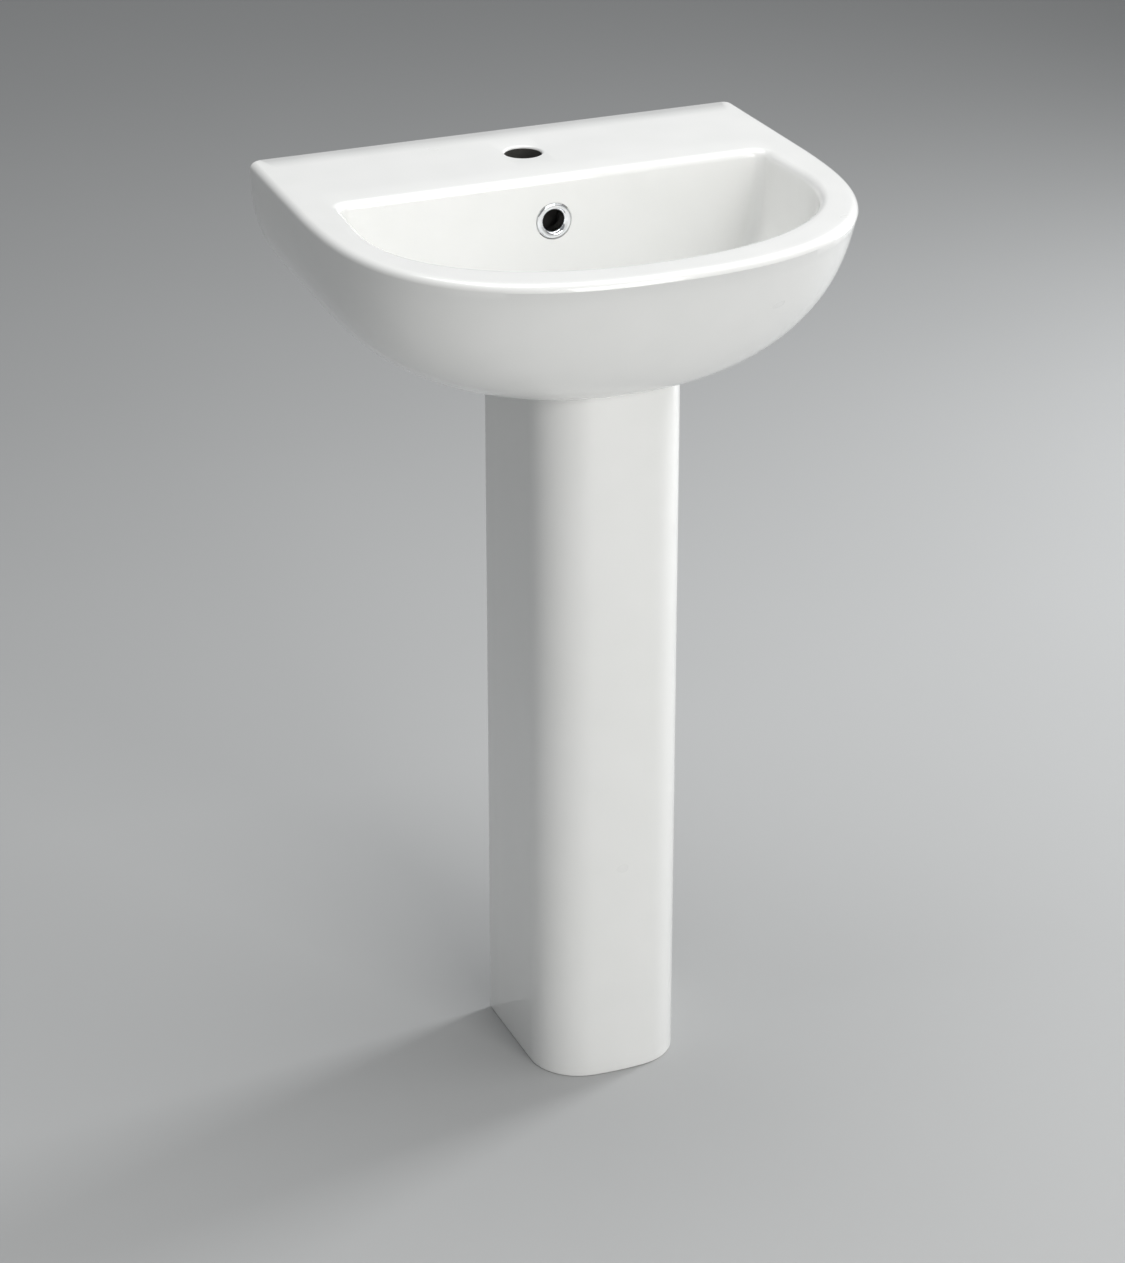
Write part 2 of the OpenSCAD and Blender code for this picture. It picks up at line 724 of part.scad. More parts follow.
module trap_body() {
    shoulder = 5;
    color(plastic) on_waste(0) difference() {
        union() {
            translate([0, 0, body_bottom]) cylinder(d = trap_d, h = body_top - shoulder - body_bottom);
            translate([0, 0, body_top - shoulder])
                cylinder(d1 = trap_d, d2 = trap_d - 2 * shoulder, h = shoulder);
            translate([0, 0, body_top - 1]) cylinder(d = neck_d, h = neck_h + 1);
            translate([0, 0, body_bottom + cup_thread + part_gap + 1])
                cylinder(d = trap_d + 4, h = 3);
            translate([0, waste_y - stub_end, outlet_z]) rotate([90, 0, 0])
                cylinder(d = stub_d, h = waste_y - stub_end - trap_d / 4);
        }
        translate([0, 0, body_bottom - 1])
            cylinder(d = trap_d - 2 * trap_t, h = body_top - shoulder - trap_t - body_bottom + 1);
        translate([0, 0, body_top - shoulder - trap_t - 1])
            cylinder(d = pipe_d + 2 * tube_gap, h = neck_h + shoulder + trap_t + 3);
        translate([0, waste_y - stub_end + 1, outlet_z]) rotate([90, 0, 0])
            cylinder(d = pipe_d + 2 * tube_gap, h = pipe_start - stub_end + 1.4);
        translate([0, waste_y - stub_end + 1, outlet_z]) rotate([90, 0, 0])
            cylinder(r = bore_r, h = waste_y - stub_end);
    }
}

module trap_cup() {
    cavity_d = trap_d - 2 * trap_t;
    top_z = body_bottom + cup_thread;
    color(plastic) on_waste(0) difference() {
        union() {
            translate([0, 0, cup_z + 6]) cylinder(d = cavity_d + 2 * trap_t, h = top_z - cup_z - 6);
            translate([0, 0, cup_z]) cylinder(d1 = cavity_d - 6, d2 = cavity_d + 2 * trap_t, h = 6);
            translate([0, 0, cup_shoulder_z - 6]) ribbed(cup_d, top_z - cup_shoulder_z + 6, cup_ribs);
        }
        translate([0, 0, cup_z + cup_floor_t]) cylinder(d = cavity_d, h = top_z - cup_z);
        translate([0, 0, cup_shoulder_z]) cylinder(d = cup_bore_d, h = top_z - cup_shoulder_z + 1);
    }
}

module trap_cup_seal() {
    color(rubber) on_waste(cup_shoulder_z) tube(trap_d, trap_d - 2 * trap_t + 0.4, cup_seal_t);
}

module trap_outlet_nut() {
    color(plastic) from_wall(0, outlet_z) translate([0, 0, stub_end - 3 - lip_t])
        union_nut(stub_d, pipe_d, trap_nut_h - 4);
}

module trap_outlet_seal() {
    color(rubber) from_wall(0, outlet_z) translate([0, 0, stub_end - 3]) tube(stub_d - 1, pipe_d, 3);
}

module waste_pipe() {
    color(plastic) from_wall(0, outlet_z) translate([0, 0, pipe_end]) difference() {
        tube(pipe_d, 2 * bore_r, pipe_start - pipe_end);
        translate([0, 0, coupling_len]) tube(pipe_d + 2, pipe_d - 2 * mark_depth, mark_w);
    }
}

// ---- Wall fixings, one of each at both studs ----

module wall_plugs() {
    color("gray") at_studs() translate([0, 0, -plug_len]) difference() {
        cylinder(d = wall_plug_d, h = plug_len);
        translate([0, 0, 4]) cylinder(d = stud_d, h = plug_len);
    }
}

module wall_studs() {
    color(chrome) at_studs() translate([0, 0, 4 - plug_len])
        cylinder(d = stud_d, h = plug_len - 4 + stud_out);
}

module stud_bushes() {
    color(plastic) at_studs() difference() {
        union() {
            translate([0, 0, 1]) cylinder(d = stud_hole_d - 2 * bush_gap, h = skin_t);
            translate([0, 0, skin_t]) cylinder(d = washer_d - 2, h = flange_bush_t);
        }
        cylinder(d = stud_d + 2 * bush_gap, h = skin_t + flange_bush_t + 1);
    }
}

module stud_washers() {
    color(chrome) at_studs() translate([0, 0, skin_t + flange_bush_t])
        tube(washer_d, stud_d + 1, washer_t);
}

module stud_nuts() {
    color(chrome) at_studs() translate([0, 0, skin_t + flange_bush_t + washer_t]) difference() {
        hexagon(nut_af, nut_h);
        translate([0, 0, -1]) cylinder(d = stud_d, h = nut_h + 2);
    }
}

basin();
pedestal();
pedestal_seal();
overflow_ring();
waste_body();
waste_top_seal();
waste_bottom_seal();
waste_backnut();
plug_cap();
plug_seal();
plug_stem();
plug_cartridge();
plug_spring();
trap_inlet_nut();
trap_inlet_seal();
trap_inlet_tube();
trap_top_nut();
trap_top_seal();
trap_body();
trap_cup();
trap_cup_seal();
trap_outlet_nut();
trap_outlet_seal();
waste_pipe();
wall_plugs();
wall_studs();
stud_bushes();
stud_washers();
stud_nuts();
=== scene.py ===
# %% [markdown]
# # A pedestal sink, piece by piece
#
# A glazed washbasin stands on a glazed pedestal, and behind it hide a push-button waste, a
# bottle trap and two wall fixings. A working model already says how big every piece is and
# where it sits. This lesson builds the surfaces that are seen, in the same places, and gives
# each one its finish. Lengths are in metres, +Z is up and +Y points at the wall.

# %% Load the working model
import math

import bmesh
import bpy
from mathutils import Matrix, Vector


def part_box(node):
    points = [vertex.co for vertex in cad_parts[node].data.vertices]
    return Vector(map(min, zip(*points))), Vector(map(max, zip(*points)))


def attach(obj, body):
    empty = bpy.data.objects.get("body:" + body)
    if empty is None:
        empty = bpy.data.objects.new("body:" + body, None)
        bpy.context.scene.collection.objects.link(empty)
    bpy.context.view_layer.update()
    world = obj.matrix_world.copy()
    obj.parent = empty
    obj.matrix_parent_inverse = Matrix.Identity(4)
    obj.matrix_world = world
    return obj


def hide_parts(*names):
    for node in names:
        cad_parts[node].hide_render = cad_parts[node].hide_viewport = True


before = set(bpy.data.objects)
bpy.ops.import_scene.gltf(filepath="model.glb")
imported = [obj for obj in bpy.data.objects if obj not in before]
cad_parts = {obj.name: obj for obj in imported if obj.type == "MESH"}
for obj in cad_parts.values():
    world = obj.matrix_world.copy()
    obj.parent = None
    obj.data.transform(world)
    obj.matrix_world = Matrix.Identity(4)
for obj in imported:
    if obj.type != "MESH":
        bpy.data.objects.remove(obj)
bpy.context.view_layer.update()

# %% [markdown]
# ## The camera
#
# A product picture of a tall, narrow object is taken from far away with a long lens, so that
# the uprights stay nearly parallel. The camera is placed by saying what it looks at, from
# which side, from how high above the horizon and from how far, because those are the four
# things a photographer decides.

# %% Place the camera
aim = Vector((0.0589, 0.1594, 0.3351))
azimuth, elevation = math.radians(-22.24), math.radians(25.35)
distance = 3.865

bpy.ops.object.camera_add(rotation=(math.pi / 2 - elevation, 0, azimuth))
camera = bpy.context.object
camera.data.lens = 109.73
camera.data.sensor_width = 36
backwards = camera.rotation_euler.to_matrix() @ Vector((0, 0, 1))
camera.location = aim + backwards * distance
bpy.context.scene.camera = camera
print("camera stands at", tuple(round(c, 3) for c in camera.location))

# %% [markdown]
# ## The floor and the light
#
# White glaze shows its shape only by shade and reflection, so the light comes from large soft
# panels: one overhead that makes the deck and the rim the brightest of all, one in front
# that shapes the bowl, and a long one on the far right that draws the bright line down the
# pedestal's edge. A faint one high on the right ties them together. The pale floor throws a
# little light back up under the bowl.

# %% Lay the floor
def free_hands():
    """Leave edit mode and let go of everything, so the next tool acts only on what is chosen."""
    if bpy.context.mode != "OBJECT":
        bpy.ops.object.mode_set(mode="OBJECT")
    bpy.ops.object.select_all(action="DESELECT")


free_hands()
bpy.ops.mesh.primitive_plane_add(size=24, location=(0, 3, 0))
floor = bpy.context.object
floor.name = "floor"

# %% Hang the light panels
def light_panel(name, width, height, power, place, target, colour=(1, 1, 1)):
    """A soft rectangular panel of light that faces a point."""
    bpy.ops.object.light_add(type="AREA", location=place)
    panel = bpy.context.object
    panel.name = name
    panel.data.shape = "RECTANGLE"
    panel.data.size, panel.data.size_y = width, height
    panel.data.energy, panel.data.color = power, colour
    facing = Vector(place) - Vector(target)
    panel.rotation_euler = facing.to_track_quat("Z", "Y").to_euler()
    return panel


light_panel("main_panel", 2.0, 1.6, 12, (1.7, -1.3, 3.1), (0, 0, 0.75))
light_panel("top_panel", 2.0, 1.6, 37, (0, 0.1, 3.0), (0, 0, 0.8))
light_panel("front_panel", 1.6, 2.2, 54, (0.5, -3.2, 1.5), (0, 0, 0.5), (1, 0.99, 0.97))
light_panel("edge_panel", 0.7, 2.4, 60, (2.6, 0.7, 1.2), (0, 0, 0.5), (0.98, 0.99, 1))

world = bpy.data.worlds.new("studio_air")
bpy.context.scene.world = world
world.use_nodes = True
world.node_tree.nodes["Background"].inputs["Color"].default_value = (0.93, 0.95, 0.97, 1)
world.node_tree.nodes["Background"].inputs["Strength"].default_value = 0.29
bpy.context.scene.view_settings.view_transform = "Standard"

# %% [markdown]
# ## Effects that several finishes share
#
# Three effects turn up again and again, so each is built once as a node group with named
# sockets. *Mottle* is a soft, patchy value between 0 and 1, for colour and roughness that
# drift across a surface. *Edge* is a mask of the outer edges, where plating and moulded
# plastic get rubbed. *Turning* is the fine ringed texture that a lathe or a mould leaves
# round an axis.

# %% Start a node group
def new_group(name, inputs, outputs):
    """A shader node group with float or vector sockets: {name: default} in, {name: kind} out."""
    group = bpy.data.node_groups.new(name, "ShaderNodeTree")
    for label, default in inputs.items():
        kind = "NodeSocketVector" if default is None else "NodeSocketFloat"
        made = group.interface.new_socket(name=label, in_out="INPUT", socket_type=kind)
        if default is not None:
            made.default_value = default
    for label, kind in outputs.items():
        group.interface.new_socket(name=label, in_out="OUTPUT", socket_type=kind)
    start = group.nodes.new("NodeGroupInput")
    end = group.nodes.new("NodeGroupOutput")
    return group, start, end


def node(tree, kind, feeds=None, **settings):
    """A node with its settings, and its inputs either set to a value or fed from another socket."""
    made = tree.nodes.new(kind)
    for key, value in settings.items():
        setattr(made, key, value)
    for label, value in (feeds or {}).items():
        if isinstance(value, bpy.types.NodeSocket):
            tree.links.new(value, made.inputs[label])
        else:
            made.inputs[label].default_value = value
    return made


# %% Mottle: a soft patchy value
mottle, start, end = new_group(
    "mottle", {"Vector": None, "Patch": 0.05, "Detail": 2.0, "Contrast": 1.0},
    {"Value": "NodeSocketFloat"})
scale = node(mottle, "ShaderNodeMath", {0: 1.0, 1: start.outputs["Patch"]}, operation="DIVIDE")
clouds = node(mottle, "ShaderNodeTexNoise", {
    "Vector": start.outputs["Vector"], "Scale": scale.outputs[0],
    "Detail": start.outputs["Detail"], "Roughness": 0.5})
middle = node(mottle, "ShaderNodeMath", {0: clouds.outputs["Fac"], 1: 0.5}, operation="SUBTRACT")
spread = node(mottle, "ShaderNodeMath", {
    0: middle.outputs[0], 1: start.outputs["Contrast"], 2: 0.5}, operation="MULTIPLY_ADD")
spread.use_clamp = True
mottle.links.new(spread.outputs[0], end.inputs["Value"])

# %% Edge: a mask of worn outer edges
edge, start, end = new_group(
    "edge", {"Vector": None, "Width": 0.001, "Patch": 0.01}, {"Mask": "NodeSocketFloat"})
rounded_normal = node(edge, "ShaderNodeBevel", {"Radius": start.outputs["Width"]}, samples=4)
true_normal = node(edge, "ShaderNodeNewGeometry")
agreement = node(edge, "ShaderNodeVectorMath", {
    0: rounded_normal.outputs["Normal"], 1: true_normal.outputs["Normal"]}, operation="DOT_PRODUCT")
bend = node(edge, "ShaderNodeMapRange", {
    "Value": agreement.outputs["Value"], "From Min": 0.99, "From Max": 0.86})
breaks = node(edge, "ShaderNodeGroup", node_tree=mottle)
edge.links.new(start.outputs["Vector"], breaks.inputs["Vector"])
edge.links.new(start.outputs["Patch"], breaks.inputs["Patch"])
breaks.inputs["Contrast"].default_value = 3.0
worn = node(edge, "ShaderNodeMath", {
    0: bend.outputs["Result"], 1: breaks.outputs["Value"]}, operation="MULTIPLY")
edge.links.new(worn.outputs[0], end.inputs["Mask"])

# %% Turning: fine rings round an axis
turning, start, end = new_group(
    "turning", {"Vector": None, "Pitch": 0.0006}, {"Height": "NodeSocketFloat"})
rings_scale = node(turning, "ShaderNodeMath", {0: 0.16, 1: start.outputs["Pitch"]},
                   operation="DIVIDE")
rings = node(turning, "ShaderNodeTexWave", {
    "Vector": start.outputs["Vector"], "Scale": rings_scale.outputs[0], "Distortion": 0.6,
    "Detail": 2.0, "Detail Scale": 0.4}, wave_type="BANDS", bands_direction="Z")
turning.links.new(rings.outputs["Fac"], end.inputs["Height"])
print("shared effects:", [g.name for g in bpy.data.node_groups])

# %% [markdown]
# ## Glaze
#
# Sanitary glaze is a thick clear glass over white clay. It could be one glossy white, but
# real glaze is never quite even: it drifts a little in warmth, it lies in very shallow waves
# that make reflections wander, and it has a fine skin like orange peel. So the clay gets a
# slightly satin base with a clear coat over it, mottled by a few parts in a hundred, and two
# scales of bump.

# %% Mix a finish from the shared effects
def use(tree, group, vector, **values):
    """Place a shared effect in a material, with its own values."""
    placed = node(tree, "ShaderNodeGroup", node_tree=group)
    tree.links.new(vector, placed.inputs["Vector"])
    for label, value in values.items():
        placed.inputs[label].default_value = value
    return placed.outputs[0]


def new_finish(name):
    """A material with its shader and the object's own coordinates."""
    finish = bpy.data.materials.new(name)
    finish.use_nodes = True
    tree = finish.node_tree
    place = node(tree, "ShaderNodeTexCoord").outputs["Object"]
    return finish, tree, tree.nodes["Principled BSDF"], place


def drift(tree, share, first, second):
    """A colour between two, by a value."""
    mixed = node(tree, "ShaderNodeMix", data_type="RGBA")
    tree.links.new(share, mixed.inputs["Factor"])
    mixed.inputs["A"].default_value = (*first, 1)
    mixed.inputs["B"].default_value = (*second, 1)
    return mixed.outputs["Result"]


def between(tree, share, low, high):
    """A number between two, by a value."""
    ranged = node(tree, "ShaderNodeMapRange", {"Value": share, "To Min": low, "To Max": high})
    return ranged.outputs["Result"]


def bumped(tree, height, depth, under=None):
    """A bump of a true depth, over another bump if there is one."""
    bump = node(tree, "ShaderNodeBump", {"Height": height, "Strength": 1.0, "Distance": depth})
    if under is not None:
        tree.links.new(under, bump.inputs["Normal"])
    return bump.outputs["Normal"]


# %% Glaze the clay
glaze, tree, shader, place = new_finish("white_glaze")
warmth = use(tree, mottle, place, Patch=0.16, Detail=0.0, Contrast=1.0)
fine_warmth = use(tree, mottle, place, Patch=0.03, Detail=0.0, Contrast=1.0)
broad = drift(tree, warmth, (0.868, 0.872, 0.850), (0.905, 0.905, 0.893))
fine = node(tree, "ShaderNodeMix", {"Factor": 0.35, "A": broad}, data_type="RGBA")
tree.links.new(drift(tree, fine_warmth, (0.855, 0.861, 0.842), (0.915, 0.912, 0.900)),
               fine.inputs["B"])
tree.links.new(fine.outputs["Result"], shader.inputs["Base Color"])
tree.links.new(between(tree, fine_warmth, 0.26, 0.36), shader.inputs["Roughness"])
shader.inputs["IOR"].default_value = 1.52
shader.inputs["Coat Weight"].default_value = 0.85
shader.inputs["Coat Roughness"].default_value = 0.06
shader.inputs["Coat IOR"].default_value = 1.5
waves = bumped(tree, use(tree, mottle, place, Patch=0.07, Detail=0.0), 0.0007)
peel = bumped(tree, use(tree, mottle, place, Patch=0.0035, Detail=0.0), 0.000012, waves)
tree.links.new(peel, shader.inputs["Normal"])
tree.links.new(waves, shader.inputs["Coat Normal"])

# %% [markdown]
# ## Bare clay
#
# The basin's back is ground flat and left unglazed so that it sits tight on the wall, and so
# are the insides of its holes, whose clay is coloured near black as painted shade. Both are
# dry, matt and slightly grainy, so one recipe with two pairs of colours serves both.

# %% Fire the bare clay
def clay(name, pale, dark):
    """Unglazed clay: matt, with soft patches and a fine grain. Pale colours give stains, near-black
    ones give painted shade.
    """
    finish, tree, shader, place = new_finish(name)
    stain_and_shade_patches = use(tree, mottle, place, Patch=0.03, Detail=4.0, Contrast=2.2)
    grain = use(tree, mottle, place, Patch=0.0009, Detail=2.0, Contrast=1.5)
    tree.links.new(drift(tree, stain_and_shade_patches, pale, dark), shader.inputs["Base Color"])
    tree.links.new(between(tree, grain, 0.72, 0.92), shader.inputs["Roughness"])
    tree.links.new(bumped(tree, grain, 0.00012), shader.inputs["Normal"])
    return finish


ground_clay = clay("ground_clay", (0.74, 0.71, 0.65), (0.60, 0.57, 0.51))
# painted shade: near-black clay for the insides of the holes, standing for the shadow in them
shade_painted_clay = clay("shade_painted_clay", (0.060, 0.057, 0.052), (0.025, 0.024, 0.022))

# %% [markdown]
# ## Metals
#
# Chrome plate is a mirror with faint cloudiness and dried water marks. Turned brass is
# warmer, shows the fine rings of the lathe and darkens where it is handled least. Zinc plate
# on the wall fixings is dull, slightly blue and scuffed bright on its edges.

# %% Plate the chrome
chrome, tree, shader, place = new_finish("chrome_plate")
film = use(tree, mottle, place, Patch=0.012, Detail=4.0, Contrast=2.0)
tree.links.new(drift(tree, film, (0.74, 0.75, 0.77), (0.83, 0.84, 0.85)),
               shader.inputs["Base Color"])
shader.inputs["Metallic"].default_value = 1.0
cells = node(tree, "ShaderNodeTexVoronoi", {"Vector": place, "Scale": 260.0}, feature="F1")
drops = node(tree, "ShaderNodeMapRange", {
    "Value": cells.outputs["Distance"], "From Min": 0.05, "From Max": 0.16,
    "To Min": 1.0, "To Max": 0.0})
marks = node(tree, "ShaderNodeMath", {0: drops.outputs["Result"], 1: film}, operation="MULTIPLY")
cloudy = node(tree, "ShaderNodeMath", {0: film, 1: 0.07, 2: 0.04}, operation="MULTIPLY_ADD")
dull = node(tree, "ShaderNodeMath", {
    0: marks.outputs[0], 1: 0.12, 2: cloudy.outputs[0]}, operation="MULTIPLY_ADD")
tree.links.new(dull.outputs[0], shader.inputs["Roughness"])
tree.links.new(bumped(tree, film, 0.00002), shader.inputs["Normal"])

# %% Turn the brass
brass, tree, shader, place = new_finish("turned_brass")
tarnish = use(tree, mottle, place, Patch=0.009, Detail=4.0, Contrast=2.0)
tree.links.new(drift(tree, tarnish, (0.72, 0.53, 0.25), (0.50, 0.35, 0.15)),
               shader.inputs["Base Color"])
shader.inputs["Metallic"].default_value = 1.0
tree.links.new(between(tree, tarnish, 0.22, 0.42), shader.inputs["Roughness"])
tree.links.new(bumped(tree, use(tree, turning, place, Pitch=0.0005), 0.00004),
               shader.inputs["Normal"])

# %% Plate the steel with zinc
zinc, tree, shader, place = new_finish("zinc_plate")
spangle = use(tree, mottle, place, Patch=0.004, Detail=3.0, Contrast=1.8)
rubbed = use(tree, edge, place, Width=0.0007, Patch=0.004)
plate = drift(tree, spangle, (0.58, 0.60, 0.63), (0.68, 0.69, 0.69))
bright = node(tree, "ShaderNodeMix", data_type="RGBA")
tree.links.new(rubbed, bright.inputs["Factor"])
tree.links.new(plate, bright.inputs["A"])
bright.inputs["B"].default_value = (0.86, 0.86, 0.85, 1)
tree.links.new(bright.outputs["Result"], shader.inputs["Base Color"])
shader.inputs["Metallic"].default_value = 1.0
tree.links.new(between(tree, spangle, 0.26, 0.44), shader.inputs["Roughness"])
tree.links.new(bumped(tree, spangle, 0.00003), shader.inputs["Normal"])

# %% [markdown]
# ## Rubber, plastic and nylon
#
# The trap is moulded in white polypropylene: satin, slightly see-through, with a fine sparked
# texture from the mould and a touch of grey on rubbed edges. Seals are matt black rubber with
# a dusty bloom, except for the pale strip on top of the pedestal, which is meant not to show.
# The wall plugs are grey nylon.

# %% Mould the plastics and the rubbers
def moulded(name, first, second, roughness, grain_size, depth, rub):
    """A moulded finish: two close colours, a range of roughness, a texture and rubbed edges."""
    finish, tree, shader, place = new_finish(name)
    cloud = use(tree, mottle, place, Patch=0.025, Detail=3.0, Contrast=2.0)
    grain = use(tree, mottle, place, Patch=grain_size, Detail=1.0, Contrast=1.4)
    body = drift(tree, cloud, first, second)
    edges = node(tree, "ShaderNodeMix", data_type="RGBA")
    tree.links.new(use(tree, edge, place, Width=0.0008, Patch=0.006), edges.inputs["Factor"])
    tree.links.new(body, edges.inputs["A"])
    edges.inputs["B"].default_value = (*rub, 1)
    tree.links.new(edges.outputs["Result"], shader.inputs["Base Color"])
    tree.links.new(between(tree, grain, *roughness), shader.inputs["Roughness"])
    tree.links.new(bumped(tree, grain, depth), shader.inputs["Normal"])
    return finish, shader


plastic, shader = moulded(
    "white_polypropylene", (0.84, 0.85, 0.84), (0.79, 0.80, 0.785), (0.30, 0.44), 0.0007, 0.00003,
    (0.74, 0.74, 0.72))
shader.inputs["Subsurface Weight"].default_value = 0.12
shader.inputs["Subsurface Radius"].default_value = (0.004, 0.004, 0.0035)
rubber, shader = moulded(
    "black_rubber", (0.030, 0.030, 0.031), (0.052, 0.051, 0.050), (0.62, 0.85), 0.0006, 0.00004,
    (0.085, 0.083, 0.080))
pale_rubber, shader = moulded(
    "pale_rubber", (0.70, 0.70, 0.68), (0.64, 0.64, 0.62), (0.55, 0.78), 0.0007, 0.00004,
    (0.76, 0.76, 0.74))
nylon, shader = moulded(
    "grey_nylon", (0.31, 0.32, 0.33), (0.25, 0.26, 0.27), (0.42, 0.60), 0.0008, 0.00004,
    (0.40, 0.41, 0.42))

# %% Paint the floor
floor_paint, tree, shader, place = new_finish("floor_paint")
cloud = use(tree, mottle, place, Patch=0.9, Detail=3.0)
tree.links.new(drift(tree, cloud, (0.43, 0.435, 0.435), (0.455, 0.46, 0.46)),
               shader.inputs["Base Color"])
shader.inputs["Roughness"].default_value = 0.9
floor.data.materials.append(floor_paint)
print("finishes:", [m.name for m in bpy.data.materials if m.use_nodes])

# %% [markdown]
# ## Bench tools
#
# Most of the plumbing is round, so the main tool is a lathe: a profile is drawn by extruding
# one corner from point to point, and spun. A loft does the same for shapes that aren't
# round: one closed outline is extruded from level to level, and each level takes its own
# outline. The rest are the everyday jobs: cutting, joining, softening edges and copying.

# %% Pick up, edit and place a piece
MM = 0.001
TIGHT = 1e-6


def take(piece):
    """Choose one piece and make it the active one."""
    free_hands()
    piece.select_set(True)
    bpy.context.view_layer.objects.active = piece


def edit(piece):
    """Open a piece for editing, with all of it selected."""
    take(piece)
    bpy.ops.object.mode_set(mode="EDIT")
    bpy.ops.mesh.select_all(action="SELECT")


def close_up(piece):
    """Merge what lies on top of itself, and turn every face outwards."""
    edit(piece)
    bpy.ops.mesh.remove_doubles(threshold=TIGHT)
    bpy.ops.mesh.normals_make_consistent(inside=False)
    free_hands()


def put(piece, at=(0, 0, 0), turn=(0, 0, 0)):
    """Turn and move a piece, then write its place into its mesh."""
    take(piece)
    piece.rotation_euler = turn
    piece.location = at
    bpy.ops.object.transform_apply(location=True, rotation=True, scale=True)
    return piece


def modify(piece, kind, **settings):
    """Add a modifier, set it and apply it."""
    take(piece)
    bpy.ops.object.modifier_add(type=kind)
    modifier = piece.modifiers[-1]
    for key, value in settings.items():
        setattr(modifier, key, value)
    bpy.ops.object.modifier_apply(modifier=modifier.name)
    return piece


def soften(piece, width, segments=3, angle=32):
    """Round every edge that turns more sharply than an angle."""
    return modify(piece, "BEVEL", width=width, segments=segments, limit_method="ANGLE",
                  angle_limit=math.radians(angle), use_clamp_overlap=True)


def carve(piece, tool, operation="DIFFERENCE"):
    """Cut a tool's shape out of a piece, or join it on, and throw the tool away."""
    modify(piece, "BOOLEAN", operation=operation, object=tool, solver="EXACT")
    bpy.data.objects.remove(tool)
    return piece


def twin(piece, name, shift):
    """A copy of a piece with its own mesh, moved along."""
    take(piece)
    bpy.ops.object.duplicate()
    copy = bpy.context.object
    copy.name = name
    return put(copy, shift)


# %% The lathe
def first_point(name, point):
    """A mesh of a single point, ready to be extruded."""
    free_hands()
    bpy.ops.mesh.primitive_plane_add(size=MM)
    piece = bpy.context.object
    piece.name = name
    bpy.ops.object.mode_set(mode="EDIT")
    bpy.ops.mesh.merge(type="CENTER")
    bpy.ops.transform.translate(value=point)
    return piece


def draw_on(steps):
    """Extrude the last point by each step in turn."""
    for step in steps:
        bpy.ops.mesh.extrude_region_move(TRANSFORM_OT_translate={"value": step})


def turned(name, profile, steps=96):
    """A round piece: a profile of (radius, height) points in millimetres, spun about Z.

    A profile that starts and ends on the axis is left open there; any other is closed."""
    points = [(r * MM, z * MM) for r, z in profile]
    if points[0][0] > 0 or points[-1][0] > 0:
        points.append(points[0])
    piece = first_point(name, (points[0][0], 0, points[0][1]))
    draw_on([(r1 - r0, 0, z1 - z0) for (r0, z0), (r1, z1) in zip(points, points[1:])])
    bpy.ops.mesh.select_all(action="SELECT")
    bpy.ops.mesh.spin(steps=steps, angle=2 * math.pi, center=(0, 0, 0), axis=(0, 0, 1))
    close_up(piece)
    return piece


def threaded(name, root, crest, pitch, low, high, steps=48):
    """A threaded bar in millimetres: one turn screwed upwards, then cut flat at both ends."""
    bar = first_point(name, (root * MM, 0, (low - pitch) * MM))
    flank, land = 0.36 * pitch * MM, 0.14 * pitch * MM
    rise = (crest - root) * MM
    draw_on([(rise, 0, flank), (0, 0, land), (-rise, 0, flank), (0, 0, land)])
    turns = math.ceil((high - low) / pitch) + 2
    modify(bar, "SCREW", axis="Z", angle=2 * math.pi, screw_offset=pitch * MM, iterations=turns,
           steps=steps, render_steps=steps, use_merge_vertices=True, merge_threshold=TIGHT)
    edit(bar)
    bpy.ops.mesh.remove_doubles(threshold=TIGHT)
    for height, below in ((low * MM, True), (high * MM, False)):
        bpy.ops.mesh.select_all(action="SELECT")
        bpy.ops.mesh.bisect(plane_co=(0, 0, height), plane_no=(0, 0, 1), use_fill=True,
                            clear_inner=below, clear_outer=not below)
    close_up(bar)
    return bar


# %% The loft, and blocks with soft edges
def loft(name, levels):
    """A closed skin: a filled circle takes the first outline, and each extrusion the next."""
    free_hands()
    bpy.ops.mesh.primitive_circle_add(vertices=len(levels[0]), radius=MM, fill_type="NGON")
    piece = bpy.context.object
    piece.name = name
    for vertex, point in zip(piece.data.vertices, levels[0]):
        vertex.co = point
    edit(piece)
    mesh = bmesh.from_edit_mesh(piece.data)
    index_at = {tuple(v.co): v.index for v in mesh.verts}
    for points in levels[1:]:
        bpy.ops.mesh.extrude_region_move()
        mesh = bmesh.from_edit_mesh(piece.data)
        ring = {index_at[tuple(v.co)]: v for v in mesh.verts if v.select}
        for k, vertex in ring.items():
            vertex.co = points[k]
        index_at = {tuple(vertex.co): k for k, vertex in ring.items()}
    bmesh.update_edit_mesh(piece.data)
    close_up(piece)
    return piece


def block(name, low, high, edge_width):
    """A block between two corners, in metres, with rounded edges."""
    free_hands()
    middle = [(a + b) / 2 for a, b in zip(low, high)]
    bpy.ops.mesh.primitive_cube_add(size=1, location=middle)
    piece = bpy.context.object
    piece.name = name
    piece.scale = [b - a for a, b in zip(low, high)]
    bpy.ops.object.transform_apply(location=True, rotation=True, scale=True)
    return soften(piece, edge_width, segments=4) if edge_width else piece


# %% Finish a piece
def finish(piece, material, body, slot, *nodes, angle=38):
    """Smooth a piece, give it its material, and let it stand for nodes of the working model."""
    take(piece)
    bpy.ops.object.shade_smooth_by_angle(angle=math.radians(angle))
    if not piece.data.materials:
        piece.data.materials.append(material)
    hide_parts(*nodes)
    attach(piece, body)
    print(f"{piece.name}: {len(piece.data.polygons)} faces, stands for {', '.join(nodes)}")
    return piece


# %% [markdown]
# ## Where things are
#
# The working model gives every place: the wall, the rim, the waste's axis and the heights of
# the fittings. Only the basin's own curves are repeated here as numbers, because a box can't
# say how a wall is curved.

